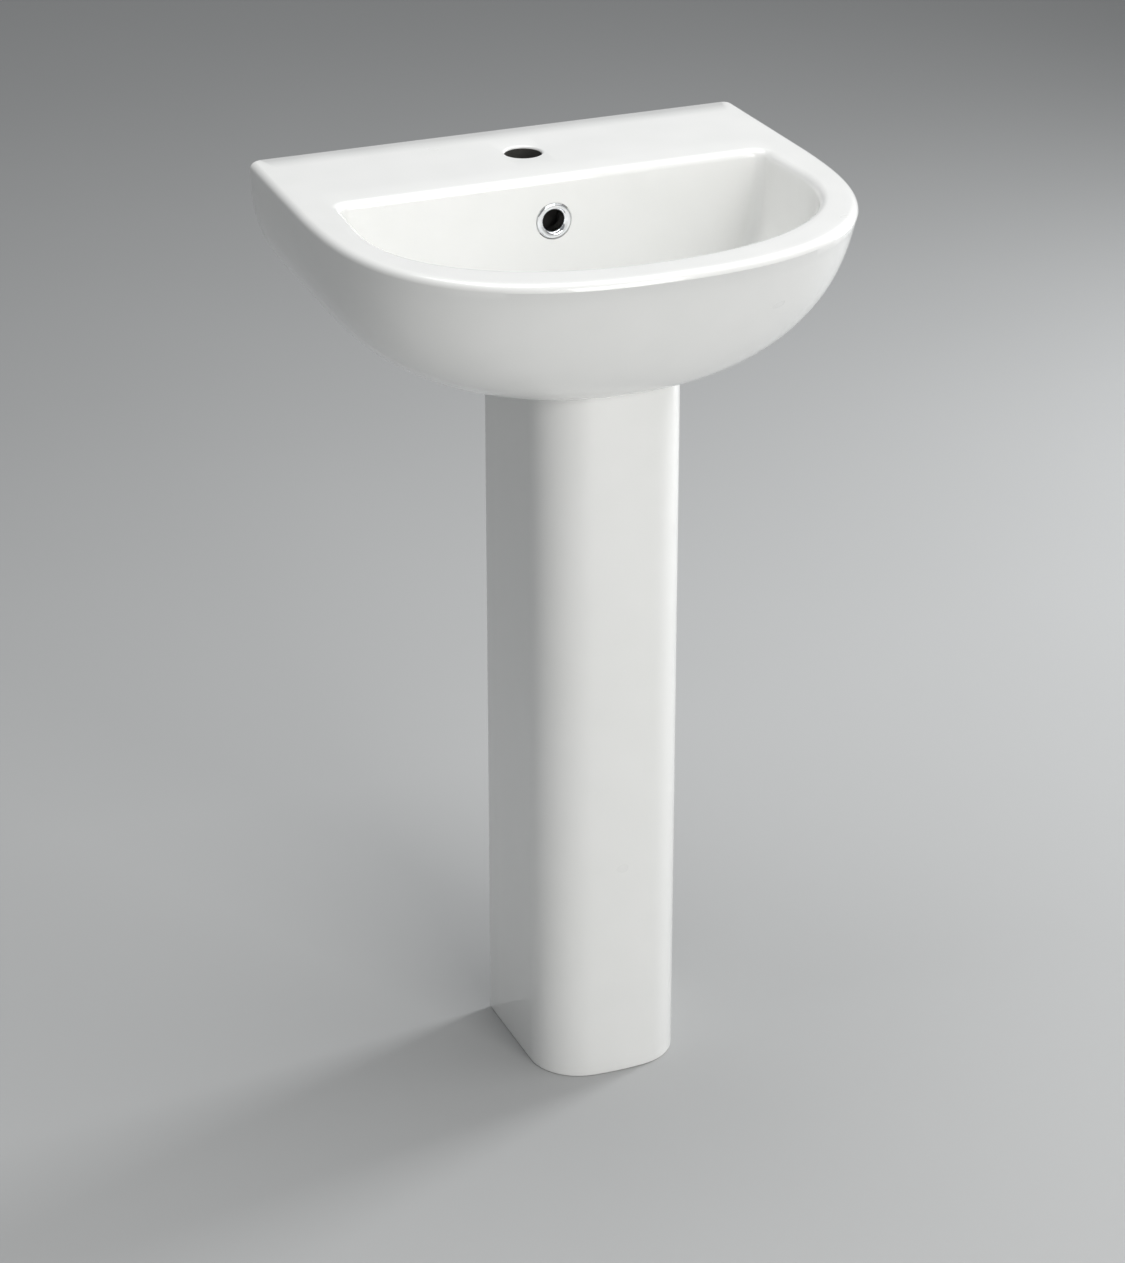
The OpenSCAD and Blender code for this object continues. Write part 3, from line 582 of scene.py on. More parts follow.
# %% Read the places
basin_low, basin_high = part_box("basin")
wall = basin_high.y
rim_top = basin_high.z
basin_depth = wall - basin_low.y
waste_low, waste_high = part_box("waste_body")
axis_y = (waste_low.y + waste_high.y) / 2
bowl_floor = waste_high.z
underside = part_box("pedestal_seal")[1].z
boss_bottom = basin_low.z
waste_out = wall - axis_y
print(f"basin {basin_high.x * 2:.3f} wide, {basin_depth:.3f} deep, rim at {rim_top:.3f}, "
      f"waste {waste_out:.4f} from the wall")

# %% [markdown]
# ## The basin's skin
#
# A cast basin is one smooth skin, from its flat underside up the outer wall, over the rim and
# down into the bowl. It could be sculpted, but every level of it has the same build: a
# straight back, two tight corners, two nearly straight sides and a full front curve. So one
# function draws a level, and a second says how far in the walls have come at each depth.

# %% Draw one level of the basin
back_steps, corner_steps, side_steps, front_steps = 10, 8, 8, 56


def level(half_w, half_back, back, side, front, corner, curve, height):
    """A closed D-shaped outline; back, side and front are distances from the wall."""
    half = [((half_back - corner) * k / back_steps, back) for k in range(back_steps)]
    for k in range(corner_steps):
        a = math.pi / 2 * k / corner_steps
        half.append((half_back - corner + corner * math.sin(a),
                     back + corner - corner * math.cos(a)))
    for k in range(side_steps):
        share = k / side_steps
        half.append((half_back + (half_w - half_back) * share,
                     back + corner + (side - back - corner) * share))
    for k in range(front_steps + 1):
        a = math.pi / 2 * k / front_steps
        across = max(0.0, math.cos(a)) ** (2 / curve[0])
        along = math.sin(a) ** (2 / curve[1])
        half.append((half_w * across, side + (front - side) * along))
    half[-1] = (0.0, front)
    ring = half + [(-x, out) for x, out in half[-2:0:-1]]
    return [(x, wall - out, height) for x, out in ring]


def fall(u, powers):
    """How far out a wall still is at a depth share u, from 1 at the top to 0 at the bottom."""
    return max(0.0, 1 - u ** powers[0]) ** (1 / powers[1])


def closing(count, power):
    """Depth shares from 0 to 1 that close up towards 1, where a wall turns in."""
    return [1 - (1 - k / count) ** power for k in range(count + 1)]


# %% Say how the outer wall and the bowl turn in
basin_h = rim_top - underside
half_width = basin_high.x
rim_r, wall_corner, mouth_r = 7 * MM, 5 * MM, 8 * MM
flat_half_w, flat_depth, side_length, taper = 100 * MM, 323 * MM, 168 * MM, 5 * MM
rim_curve, side_fall, front_fall = (2.47, 2.75), (2.4, 2.2), (0.78, 1.73)

mouth_half_w = half_width - 36 * MM
mouth_front = basin_depth - 39 * MM
deck, flat_ring = 147 * MM, 45 * MM
bowl_side, bowl_taper, bowl_corner = 75 * MM, 4 * MM, 12 * MM
bowl_curve, bowl_w_fall = (2.16, 2.27), (2.8, 4.6)
bowl_front_fall, bowl_back_fall = (2, 2.4), (2.6, 4)


def outer_half_w(u):
    return flat_half_w + (half_width - flat_half_w) * fall(u, side_fall)


def rounding(radius, height):
    """How far a rounded edge is drawn in at a height below its top, or above its bottom."""
    near = max(0.0, radius - max(0.0, height))
    return radius - math.sqrt(max(0.0, radius * radius - near * near))


def outer_level(u, inset, back, height):
    half_w = outer_half_w(u) - inset
    front = flat_depth + (basin_depth - flat_depth) * fall(u, front_fall) - inset
    narrower = taper * outer_half_w(u) / outer_half_w(0)
    return level(half_w, half_w - narrower, back, side_length, front, wall_corner,
                 rim_curve, height)


def bowl_level(u, outset, height):
    share = fall(u, bowl_w_fall)
    half_w = flat_ring + (mouth_half_w - flat_ring) * share + outset
    side = waste_out + (deck + bowl_side - waste_out) * share
    front = (waste_out + flat_ring
             + (mouth_front - waste_out - flat_ring) * fall(u, bowl_front_fall) + outset)
    back = (waste_out - flat_ring
            - (waste_out - flat_ring - deck) * fall(u, bowl_back_fall) - outset)
    return level(half_w, half_w - bowl_taper * share, back, side, front,
                 bowl_corner + outset, bowl_curve, height)


# %% Stack the levels and loft them
levels = []
back_r, rim_back_r, edge_steps = 3 * MM, 1.5 * MM, 8
for u in reversed(closing(30, 2)):
    height = rim_top - rim_r - (basin_h - rim_r) * u
    levels.append(outer_level(u, 0, rounding(back_r, height - underside), height))
for k in range(1, edge_steps + 1):
    a = math.pi / 2 * k / edge_steps
    levels.append(outer_level(0, rim_r * (1 - math.cos(a)), rim_back_r * (1 - math.cos(a)),
                              rim_top - rim_r * (1 - math.sin(a))))
rim_outside = levels[-1]
rim_inside = bowl_level(0, mouth_r, rim_top)
for share in (0.2, 0.5, 0.8):
    levels.append([tuple(Vector(p).lerp(Vector(q), share))
                   for p, q in zip(rim_outside, rim_inside)])
for k in range(edge_steps, 0, -1):
    a = math.pi / 2 * k / edge_steps
    levels.append(bowl_level(0, mouth_r * (1 - math.cos(a)), rim_top - mouth_r * (1 - math.sin(a))))
for u in closing(34, 2.6):
    levels.append(bowl_level(u, 0, rim_top - mouth_r - (rim_top - bowl_floor - mouth_r) * u))

basin = loft("basin_shell", levels)
print(f"basin skin: {len(levels)} levels of {len(levels[0])} points")

# %% [markdown]
# ## The hollow, the boss and the holes
#
# Behind the bowl the basin is hollow and open below, so that a plumber's hand can reach the
# tap's nut. A rib down its middle hides the overflow channel, and a boss underneath takes the
# waste. Each is a solid of its own that is cut away or joined on. The cutters flare at their
# mouths: a flared cutter leaves a rounded edge behind, which is how thick glaze looks.

# %% Cut the hollow behind the bowl
skin = 13 * MM
deck_t = 20 * MM
channel_w, channel_t, channel_wall = 28 * MM, 12 * MM, 9 * MM
channel_rise = 15 * MM
hollow_front = deck - skin
channel_back = hollow_front - channel_t
rib_back = channel_back - channel_wall
rib_half_w = channel_w / 2 + channel_wall


def rounded(corners, radius, steps=5):
    """An outline of right-angled corners, each replaced by an arc."""
    points = []
    for before, corner, after in zip(corners[-1:] + corners[:-1], corners,
                                     corners[1:] + corners[:1]):
        corner = Vector(corner)
        arriving = (corner - Vector(before)).normalized()
        leaving = (Vector(after) - corner).normalized()
        middle = corner + (leaving - arriving) * radius
        for k in range(steps + 1):
            a = math.pi / 2 * k / steps
            points.append(middle + (arriving * math.sin(a) - leaving * math.cos(a)) * radius)
    return points


def outer_share(depth):
    return min(1.0, max(0.0, (depth - rim_r) / (basin_h - rim_r)))


def hollow_level(height, inset):
    depth = rim_top - height
    below = min(outer_half_w(outer_share(depth)) - skin, outer_half_w(outer_share(depth + skin)))
    side, back, front = below - taper - inset, skin + inset, hollow_front - inset
    rib, rib_face = rib_half_w + inset, rib_back - inset
    outline = rounded([(-side, back), (side, back), (side, front), (rib, front), (rib, rib_face),
                       (-rib, rib_face), (-rib, front), (-side, front)], 7 * MM)
    return [(x, wall - out, height) for x, out in outline]


flare, top_r = 3 * MM, 12 * MM
hollow_top = rim_top - deck_t
heights = [underside - flare] + [underside + flare * k / 6 for k in range(7)]
heights += [underside + flare + (hollow_top - top_r - underside - flare) * k / 12
            for k in range(1, 13)]
heights += [hollow_top - top_r * (1 - math.sin(math.pi / 2 * k / 8)) for k in range(1, 9)]
hollow = loft("hollow_cutter", [
    hollow_level(h, rounding(top_r, hollow_top - h) - rounding(flare, h - underside))
    for h in heights])
carve(basin, hollow)

# %% Join on the boss and the rib's foot
boss_r, foot_r, fillet = 39, 3, 4
boss_low, boss_high = boss_bottom / MM, underside / MM


def arc(centre, radius, first, last, steps=6):
    """Points of an arc in a profile, between two angles in degrees."""
    angles = [math.radians(first + (last - first) * k / steps) for k in range(steps + 1)]
    return [(centre[0] + radius * math.cos(a), centre[1] + radius * math.sin(a)) for a in angles]


boss = turned("boss", [(0, boss_low)] + arc((boss_r - foot_r, boss_low + foot_r), foot_r, -90, 0)
              + arc((boss_r + fillet, boss_high - fillet), fillet, 180, 90)
              + [(boss_r + fillet, boss_high + 3), (0, boss_high + 3)], 128)
put(boss, (0, axis_y, 0))
rib_foot = block("rib_foot", (-rib_half_w, axis_y, boss_bottom),
                 (rib_half_w, wall - rib_back, underside + 4 * MM), 3 * MM)
carve(rib_foot, boss, "UNION")
carve(basin, rib_foot, "UNION")

# %% Drill the tap hole, the waste hole and the stud holes
def flared_drill(name, radius, low, high, low_flare, high_flare):
    """A drill in millimetres along Z, whose ends widen in a quarter round."""
    profile = [(0, low - 2)]
    if low_flare:
        profile += [(radius + low_flare, low - 2)]
        profile += arc((radius + low_flare, low + low_flare), low_flare, 270, 180)
    else:
        profile += [(radius, low - 2)]
    if high_flare:
        profile += arc((radius + high_flare, high - high_flare), high_flare, 180, 90)
        profile += [(radius + high_flare, high + 2)]
    else:
        profile += [(radius, high + 2)]
    return turned(name, profile + [(0, high + 2)], 128)


tap_out, tap_r = 71 * MM, 17.5
tap_drill = flared_drill("tap_drill", tap_r, hollow_top / MM, rim_top / MM, 1.5, 2.5)
carve(basin, put(tap_drill, (0, wall - tap_out, 0)))
floor_mm, recess_t, recess_r, waste_hole_r = bowl_floor / MM, 4, 32.75, 22.55
recess = flared_drill("recess_drill", recess_r, floor_mm - recess_t + 2, floor_mm, 0, 1.5)
carve(basin, put(recess, (0, axis_y, 0)))
waste_drill = flared_drill("waste_drill", waste_hole_r, boss_low, floor_mm - recess_t - 1, 1.5, 0)
carve(basin, put(waste_drill, (0, axis_y, 0)))
along_wall = (math.pi / 2, 0, 0)
stud_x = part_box("wall_studs")[1].x - 5 * MM
stud_z = sum(c.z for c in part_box("wall_studs")) / 2
for side in (-1, 1):
    stud_drill = flared_drill("stud_drill", 8, 0, skin / MM, 1, 1)
    carve(basin, put(stud_drill, (side * stud_x, wall, stud_z), along_wall))

# %% Cut the overflow: its seat in the bowl and the channel down to the waste
ring_low, ring_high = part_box("overflow_ring")
overflow_z = (ring_low.z + ring_high.z) / 2
seat_out = deck - 0.8 * MM
overflow_r, seat_r = 12.5, 17.5
channel_z = boss_bottom + channel_wall + 2 * MM
overflow_drill = turned("overflow_drill", [
    (0, channel_back / MM + 1), (overflow_r, channel_back / MM + 1), (overflow_r, seat_out / MM),
    (seat_r, seat_out / MM), (seat_r, seat_out / MM + 20), (0, seat_out / MM + 20)], 96)
put(overflow_drill, (0, wall, overflow_z), along_wall)
down = block("channel_down", (-channel_w / 2, wall - hollow_front, channel_z),
             (channel_w / 2, wall - channel_back, overflow_z + channel_rise), 2 * MM)
forward = block("channel_forward", (-channel_w / 2, axis_y, channel_z),
                (channel_w / 2, wall - channel_back, channel_z + channel_t), 2 * MM)
carve(down, forward, "UNION")
carve(down, overflow_drill, "UNION")
carve(basin, down)

# %% Glaze the basin, leave its back bare, and paint shade into its bare holes
for material in (glaze, ground_clay, shade_painted_clay):
    basin.data.materials.append(material)
tap_axis = Vector((0, wall - tap_out))
near = 0.3 * MM


def in_tap_hole(point):
    return ((point.xy - tap_axis).length < tap_r * MM + near
            and hollow_top + 1 * MM < point.z < rim_top - 2.4 * MM)


def in_channel(point):
    return (abs(point.x) < channel_w / 2 + near and wall - seat_out - near < point.y
            and point.y < wall - channel_back + near
            and channel_z - near < point.z < overflow_z + channel_rise + near)


mesh = basin.data
for face in mesh.polygons:
    points = [mesh.vertices[k].co for k in face.vertices]
    if face.normal.y > 0.99 and face.center.y > wall - 0.4 * MM:
        face.material_index = 1
    # the tap hole's bore and the overflow channel take the near-black clay: painted shade for the
    # shadow inside them
    elif all(in_tap_hole(p) for p in points) or all(in_channel(p) for p in points):
        face.material_index = 2
print("bare faces:", sum(face.material_index > 0 for face in mesh.polygons))
finish(basin, glaze, "sink", "ceramic", "basin")

# %% [markdown]
# ## The pedestal
#
# The pedestal is a cast channel, open at the back, that hides the trap: two flat sides, two
# round corners and a gently bowed front. Two circles that touch give the corner and the bow.
# One outline runs right round the wall, outside and inside, and is lofted upwards; drawing
# the outline in a little at the top and the bottom rounds the edges.

# %% Draw the pedestal's wall from above
ped_low, ped_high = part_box("pedestal")
half_ped, ped_front, ped_back = ped_high.x, wall - ped_low.y, wall - ped_high.y
ped_t, corner_r, bow_r, lip_r = 12 * MM, 50 * MM, 260 * MM, 3.5 * MM
corner_x = half_ped - corner_r
bow_centre = ped_front - bow_r
corner_out = bow_centre + math.sqrt((bow_r - corner_r) ** 2 - corner_x ** 2)
join_angle = math.asin(corner_x / (bow_r - corner_r))


def half_face(offset, back):
    """One face of the wall, from its back edge round to the middle of the front."""
    points = [(half_ped - offset, back + (corner_out - back) * k / 4) for k in range(4)]
    for k in range(24):
        a = (math.pi / 2 - join_angle) * k / 24
        points.append((corner_x + (corner_r - offset) * math.cos(a),
                       corner_out + (corner_r - offset) * math.sin(a)))
    for k in range(9):
        a = join_angle * (1 - k / 8)
        points.append(((bow_r - offset) * math.sin(a), bow_centre + (bow_r - offset) * math.cos(a)))
    points[-1] = (0.0, points[-1][1])
    return points


def pedestal_level(inset, height):
    """The wall's outline, with every face drawn in by inset."""
    back = ped_back + inset + lip_r
    outside, inside = half_face(inset, back), half_face(ped_t - inset, back)
    lip = []
    for centre_x, first in ((half_ped - ped_t + inset + lip_r, 180),
                            (half_ped - inset - lip_r, 90)):
        for k in range(6 if first == 180 else 5):
            a = math.radians(first - 90 * k / 5)
            lip.append((centre_x + lip_r * math.cos(a), back - lip_r * math.sin(a)))
    right = lip + outside
    left = [(-x, out) for x, out in right[-2::-1]]
    around = [(-x, out) for x, out in inside[1:]] + inside[-2:0:-1]
    return [(x, wall - out, height) for x, out in right + left + around]


# %% Loft the pedestal and fit its floor lugs
foot_round, top_round = 2 * MM, 3 * MM
steps = [math.pi / 2 * k / 5 for k in range(6)]
levels = [pedestal_level(foot_round * (1 - math.sin(a)), foot_round * (1 - math.cos(a)))
          for a in steps]
levels += [pedestal_level(top_round * (1 - math.cos(a)), ped_high.z - top_round * (1 - math.sin(a)))
           for a in steps]
pedestal = loft("pedestal_shell", levels)
lug_w, lug_d, lug_h, lug_hole_r = 26 * MM, 36 * MM, 16 * MM, 4
lug_x = half_ped - ped_t - lug_w / 2
for side in (-1, 1):
    lug = block("lug", (side * lug_x - lug_w / 2 - 2 * MM, ped_high.y - lug_d, 0),
                (side * lug_x + lug_w / 2 + 2 * MM, ped_high.y - 0.5 * MM, lug_h), 2.5 * MM)
    carve(pedestal, lug, "UNION")
    lug_drill = flared_drill("lug_drill", lug_hole_r, 0, lug_h / MM, 0, 1.5)
    carve(pedestal, put(lug_drill, (side * lug_x, ped_high.y - lug_d / 2, 0)))
finish(pedestal, glaze, "sink", "ceramic", "pedestal")

# %% [markdown]
# ## The strip between basin and pedestal
#
# A soft strip keeps the two castings from grinding on each other. It follows the pedestal's
# top, a little inside its faces, and bulges slightly where it is squeezed.

# %% Press the strip
strip_low, strip_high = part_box("pedestal_seal")
strip_t = strip_high.z - strip_low.z
levels = []
for k in range(7):
    share = k / 6
    bulge = 0.5 * MM * math.sin(math.pi * share)
    levels.append(pedestal_level(2 * MM - bulge, strip_low.z + strip_t * share))
strip = loft("pedestal_strip", levels)
finish(strip, pale_rubber, "sink", "rubber", "pedestal_seal")

# %% [markdown]
# ## The overflow ring
#
# A chrome ring lines the overflow hole. Its face is rolled: round on the outside, with a soft
# crown that falls away into the opening, and a barrel behind it that grips the ceramic. A
# ring is the lathe's own work.

# %% Turn the overflow ring
ring_profile = [(10, -11), (11.7, -11), (12.1, -10.4), (12.1, 0), (17, 0), (17, 0.6)]
ring_profile += arc((15.2, 0.7), 1.8, 10, 90)[1:] + [(14.3, 2.48), (13.4, 2.36)]
ring_profile += [(12.4, 2.0), (11.5, 1.4), (10.8, 0.6), (10.3, -0.4), (10, -1.8)]
overflow_ring = turned("overflow_trim", ring_profile, 128)
put(overflow_ring, (0, wall - seat_out, overflow_z), along_wall)
finish(overflow_ring, chrome, "sink", "chrome", "overflow_ring")

# %% [markdown]
# ## The waste
#
# The waste is one chromed brass fitting: a flange that shows in the bowl, a cone that the
# plug seals on, and a long threaded tail that passes through the ceramic. Two windows in the
# tail let the overflow in, and a three-armed web inside carries the plug's cartridge. The
# thread is a true screw, because it shows from behind between the nuts.

# %% Turn the flange and thread the tail
tail_mm = waste_low.z / MM
tail_r, tail_bore, flange_r, cone_r, cone_h = 20.95, 18, 31.75, 22.5, 9
tail = threaded("waste_fitting", tail_r - 0.9, tail_r, 2.31, tail_mm, floor_mm - 2)
flange = turned("flange", [(0, floor_mm - 2.5), (flange_r - 0.2, floor_mm - 2.5),
                           (flange_r, floor_mm - 2.2), (flange_r, floor_mm - 1.6)]
                + arc((flange_r - 1.6, floor_mm - 1.6), 1.6, 0, 90)[1:]
                + [(cone_r + 1.2, floor_mm - 0.25), (0, floor_mm - 0.25)], 128)
waste = carve(tail, flange, "UNION")
bore = turned("bore", [(0, tail_mm - 1), (tail_bore + 0.8, tail_mm - 1), (tail_bore + 0.8, tail_mm),
                       (tail_bore, tail_mm + 0.8), (tail_bore, floor_mm - cone_h)]
              + [(cone_r, floor_mm - 0.6), (cone_r + 0.5, floor_mm - 0.2),
                 (cone_r + 0.7, floor_mm + 1), (0, floor_mm + 1)], 128)
carve(waste, bore)
window_half_w, window_low, window_h = 10 * MM, channel_z + 1 * MM, 10 * MM
window = block("window", (-window_half_w, -40 * MM, window_low),
               (window_half_w, 40 * MM, window_low + window_h), 1.5 * MM)
carve(waste, window)

# %% Fit the web that carries the cartridge
web_low, web_high, hub_r, hub_bore = 689, 695, 10.5, 7.05
hub = turned("hub", [(0, web_low), (hub_r - 0.6, web_low), (hub_r, web_low + 0.6),
                     (hub_r, web_high - 0.6), (hub_r - 0.6, web_high), (0, web_high)], 64)
for k in range(3):
    arm = block("arm", (hub_r * MM * 0.5, -2 * MM, web_low * MM),
                ((tail_bore + 1) * MM, 2 * MM, web_high * MM), 0.6 * MM)
    carve(hub, put(arm, turn=(0, 0, math.radians(120 * k))), "UNION")
carve(hub, turned("hub_bore", [(0, web_low - 1), (hub_bore, web_low - 1),
                               (hub_bore, web_high + 1), (0, web_high + 1)], 64))
carve(waste, hub, "UNION")
put(waste, (0, axis_y, 0))
finish(waste, chrome, "sink", "chrome", "waste_body")

# %% Lay the gasket under the boss
def washer(name, outer, inner, low, high, edge_r, steps=96):
    """A flat ring in millimetres with rounded outer edges."""
    profile = ([(inner, low), (outer - edge_r, low)]
               + arc((outer - edge_r, low + edge_r), edge_r, -90, 0, 3)[1:])
    profile += arc((outer - edge_r, high - edge_r), edge_r, 0, 90, 3) + [(inner, high)]
    return turned(name, profile, steps)


gasket_low, gasket_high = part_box("waste_bottom_seal")
gasket = washer("waste_gasket", 32, 21.15, gasket_low.z / MM, gasket_high.z / MM, 1.2)
finish(put(gasket, (0, axis_y, 0)), rubber, "sink", "rubber", "waste_bottom_seal")

# %% [markdown]
# ## The backnut
#
# The backnut is cut from hexagon brass bar: six flats whose corners are turned off at an
# angle, with a round flange that bears on the gasket. A six-sided cylinder gives the flats,
# and keeping only what lies inside a turned double cone takes the corners off.

# %% Cut a hexagon nut
def hexagon_nut(name, flats, bore_r, low, high, steps=96):
    """A nut along Z in millimetres, its corners turned off at thirty degrees."""
    free_hands()
    corner = flats / 2 / math.cos(math.pi / 6)
    bpy.ops.mesh.primitive_cylinder_add(vertices=6, radius=corner * MM, depth=(high - low) * MM,
                                        location=(0, 0, (low + high) / 2 * MM))
    nut = bpy.context.object
    nut.name = name
    put(nut, nut.location)
    chamfer = (corner - flats / 2 * 0.98)
    fall_off = chamfer * math.tan(math.radians(30))
    cone = turned("cone", [(0, low), (flats / 2 * 0.98, low), (corner, low + fall_off),
                           (corner + 1, low + fall_off + 0.6), (corner + 1, high - fall_off - 0.6),
                           (corner, high - fall_off), (flats / 2 * 0.98, high), (0, high)], steps)
    carve(nut, cone, "INTERSECT")
    lead = min(1.2, (high - low) / 8)
    hole = turned("hole", [(0, low - 1), (bore_r + lead, low - 1), (bore_r + lead, low),
                           (bore_r, low + lead), (bore_r, high - lead), (bore_r + lead, high),
                           (bore_r + lead, high + 1), (0, high + 1)], steps)
    carve(nut, hole)
    return nut


nut_low, nut_high = (corner.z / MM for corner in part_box("waste_backnut"))
backnut = hexagon_nut("waste_nut", 54, 21.1, nut_low, nut_high - 1.5)
nut_flange = turned("nut_flange", [
    (21.1, nut_high - 2.2), (30.2, nut_high - 2.2), (31, nut_high - 1.6), (31, nut_high - 0.4),
    (30.6, nut_high), (22.0, nut_high), (21.1, nut_high - 0.9)])
carve(backnut, nut_flange, "UNION")
soften(backnut, 0.3 * MM, 2)
finish(put(backnut, (0, axis_y, 0)), brass, "sink", "brass", "waste_backnut")

# %% [markdown]
# ## The plug
#
# The plug is a shallow chrome dome that a finger pushes down. Its edge is rounded over, and a
# groove underneath holds the rubber seal against the cone of the waste. The dome is part of a
# big circle, so its profile is an arc.

# %% Turn the dome and its groove
cap_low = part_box("plug_seal")[0].z / MM
cap_z, cap_top = bowl_floor / MM + 0.3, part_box("plug_cap")[1].z / MM
cap_r, dome_h = 29, cap_top - cap_z - 2
ball_r = (cap_r ** 2 + dome_h ** 2) / (2 * dome_h)
lean = math.degrees(math.asin((cap_r - 1.2) / ball_r))
dome = arc((0, cap_top - ball_r), ball_r, 90 - lean, 90, 24)
dome[-1] = (0, cap_top)
seal_r = 19.45
cap_profile = [(0, cap_low - 4), (seal_r - 2.7, cap_low - 4), (seal_r - 2.5, cap_low - 3.8),
               (seal_r - 2.5, cap_low), (seal_r - 4.5, cap_low), (seal_r - 4.5, cap_z),
               (cap_r - 2, cap_z), (cap_r - 0.5, cap_z + 0.3), (cap_r, cap_z + 0.9),
               (cap_r, cap_z + 1.5),
               (cap_r - 0.4, cap_z + 2.1)] + dome
cap = turned("plug_dome", cap_profile, 128)
socket = turned("socket", [(0, 690), (4, 690), (4, 715.9), (4, cap_z - 1), (0, cap_z - 1)], 48)
boss_under = turned("cap_boss", [(0, 716.3), (7.6, 716.3), (8, 716.7), (8, cap_low - 3),
                                 (0, cap_low - 3)], 64)
carve(cap, boss_under, "UNION")
carve(cap, socket)
finish(put(cap, (0, axis_y, 0)), chrome, "plug", "chrome", "plug_cap")

# %% Stretch the plug's seal into its groove
seal_low, seal_high = (corner.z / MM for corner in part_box("plug_seal"))
plug_seal = turned("plug_ring", [(seal_r - 4.5, seal_low), (seal_r - 2.2, seal_low)]
                   + arc((seal_r - 1.3, (seal_low + seal_high) / 2), 1.3, -70, 70, 8)
                   + [(seal_r - 2.2, seal_high), (seal_r - 4.5, seal_high)])
finish(put(plug_seal, (0, axis_y, 0)), rubber, "plug", "rubber", "plug_seal")

# %% [markdown]
# ## Union nuts
#
# Each joint of the trap is closed by a moulded nut: a round body with ribs for the fingers, a
# thread inside and a lip that presses a seal on to the tube. The ribs are made the way a
# modeller would: narrow columns of the outer wall are selected all round and pulled outwards.

# %% Mould a union nut
def pull_ribs(piece, count, low, high, radius, depth, wide=1):
    """Select a few columns of the outer wall at even spacing, and pull them out."""
    edit(piece)
    bpy.ops.mesh.select_mode(type="FACE")
    bpy.ops.mesh.select_all(action="DESELECT")
    mesh = bmesh.from_edit_mesh(piece.data)
    for face in mesh.faces:
        middle = face.calc_center_median()
        around = math.degrees(math.atan2(middle.y, middle.x)) % (360 / count)
        on_wall = math.hypot(middle.x, middle.y) > (radius - 0.3) * MM
        if on_wall and low * MM < middle.z < high * MM and around < wide * 360 / 96:
            face.select_set(True)
    bmesh.update_edit_mesh(piece.data)
    bpy.ops.mesh.extrude_region_shrink_fatten(TRANSFORM_OT_shrink_fatten={"value": depth * MM})
    bpy.ops.mesh.select_mode(type="VERT")
    free_hands()


def union_nut(name, thread_r, tube_r, tall):
    """A ribbed nut from z = 0 up, its lip at the bottom, in millimetres."""
    body_r, lip = thread_r + 5.15, 4
    profile = [(tube_r + 0.9, 0), (body_r - 2.2, 0), (body_r - 0.8, 0.5), (body_r, 1.8),
               (body_r, 3), (body_r, tall - 2.4), (body_r, tall - 1.2), (body_r - 0.8, tall),
               (thread_r + 1.0, tall), (thread_r + 0.15, tall - 1.2)]
    turns = int((tall - 1.2 - lip - 2) / 2)
    for k in range(turns):
        top = tall - 1.6 - 2 * k
        profile += [(thread_r + 0.15, top), (thread_r + 0.75, top - 0.7),
                    (thread_r + 0.75, top - 1.1), (thread_r + 0.15, top - 1.8)]
    profile += [(thread_r + 0.15, lip), (tube_r, lip), (tube_r, 0.9)]
    nut = turned(name, profile, 96)
    pull_ribs(nut, 16, 3, tall - 2.4, body_r, 1.15)
    soften(nut, 0.35 * MM, 2, 40)
    return nut


inlet_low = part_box("trap_inlet_nut")[0].z
inlet_nut = union_nut("inlet_union_nut", 20.95, 16.4, 20)
finish(put(inlet_nut, (0, axis_y, inlet_low)), plastic, "sink", "plastic", "trap_inlet_nut")
top_nut_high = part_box("trap_top_nut")[1].z
top_nut = union_nut("top_union_nut", 21.4, 16.4, 16)
put(top_nut, (0, axis_y, top_nut_high), (math.pi, 0, 0))
finish(top_nut, plastic, "sink", "plastic", "trap_top_nut")
outlet_low, outlet_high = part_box("trap_outlet_nut")
outlet_z = (outlet_low.z + outlet_high.z) / 2
outlet_nut = union_nut("outlet_union_nut", 19.4, 16.4, 16)
put(outlet_nut, (0, outlet_high.y, outlet_z), along_wall)
finish(outlet_nut, plastic, "sink", "plastic", "trap_outlet_nut")

# %% [markdown]
# ## The tubes
#
# The inlet tube hangs from its collar down into the trap, and the waste pipe runs back to the
# wall. Both are plain extruded tube, so what makes them real is at the ends: a chamfer, a
# thin wall, and a groove that marks how far the coupling goes on.

# %% Draw the inlet tube and the waste pipe
tube_low, tube_high = (corner.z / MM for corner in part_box("trap_inlet_tube"))
inlet_tube = turned("inlet_tube", [
    (14, tube_low + 0.5), (14.5, tube_low), (15.4, tube_low), (16, tube_low + 0.9),
    (16, tube_high - 5), (17, tube_high - 4), (20.1, tube_high - 4), (20.45, tube_high - 3.6),
    (20.45, tube_high - 0.4), (20.1, tube_high), (14.6, tube_high), (14, tube_high - 0.6)])
finish(put(inlet_tube, (0, axis_y, 0)), plastic, "sink", "plastic", "trap_inlet_tube")

pipe_low, pipe_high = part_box("waste_pipe")
near, far = (wall - pipe_high.y) / MM, (wall - pipe_low.y) / MM
mark = near + 45
pipe = turned("outlet_pipe", [
    (14, near + 0.4), (14.4, near), (14.9, near), (16, near + 1.6), (16, mark), (15.6, mark + 0.3),
    (15.6, mark + 1.7), (16, mark + 2), (16, far - 0.6), (15.5, far), (14.4, far), (14, far - 0.4)])
put(pipe, (0, wall, outlet_z), along_wall)
finish(pipe, plastic, "sink", "plastic", "waste_pipe")

# %% [markdown]
# ## The trap's body
#
# The body is a moulded bottle without a bottom: a neck for the top nut, a shoulder, a side
# outlet with its own thread, and a coarse outside thread at the foot for the cup. Outside and
# inside are each built from round solids that are joined, and then one is cut from the other.

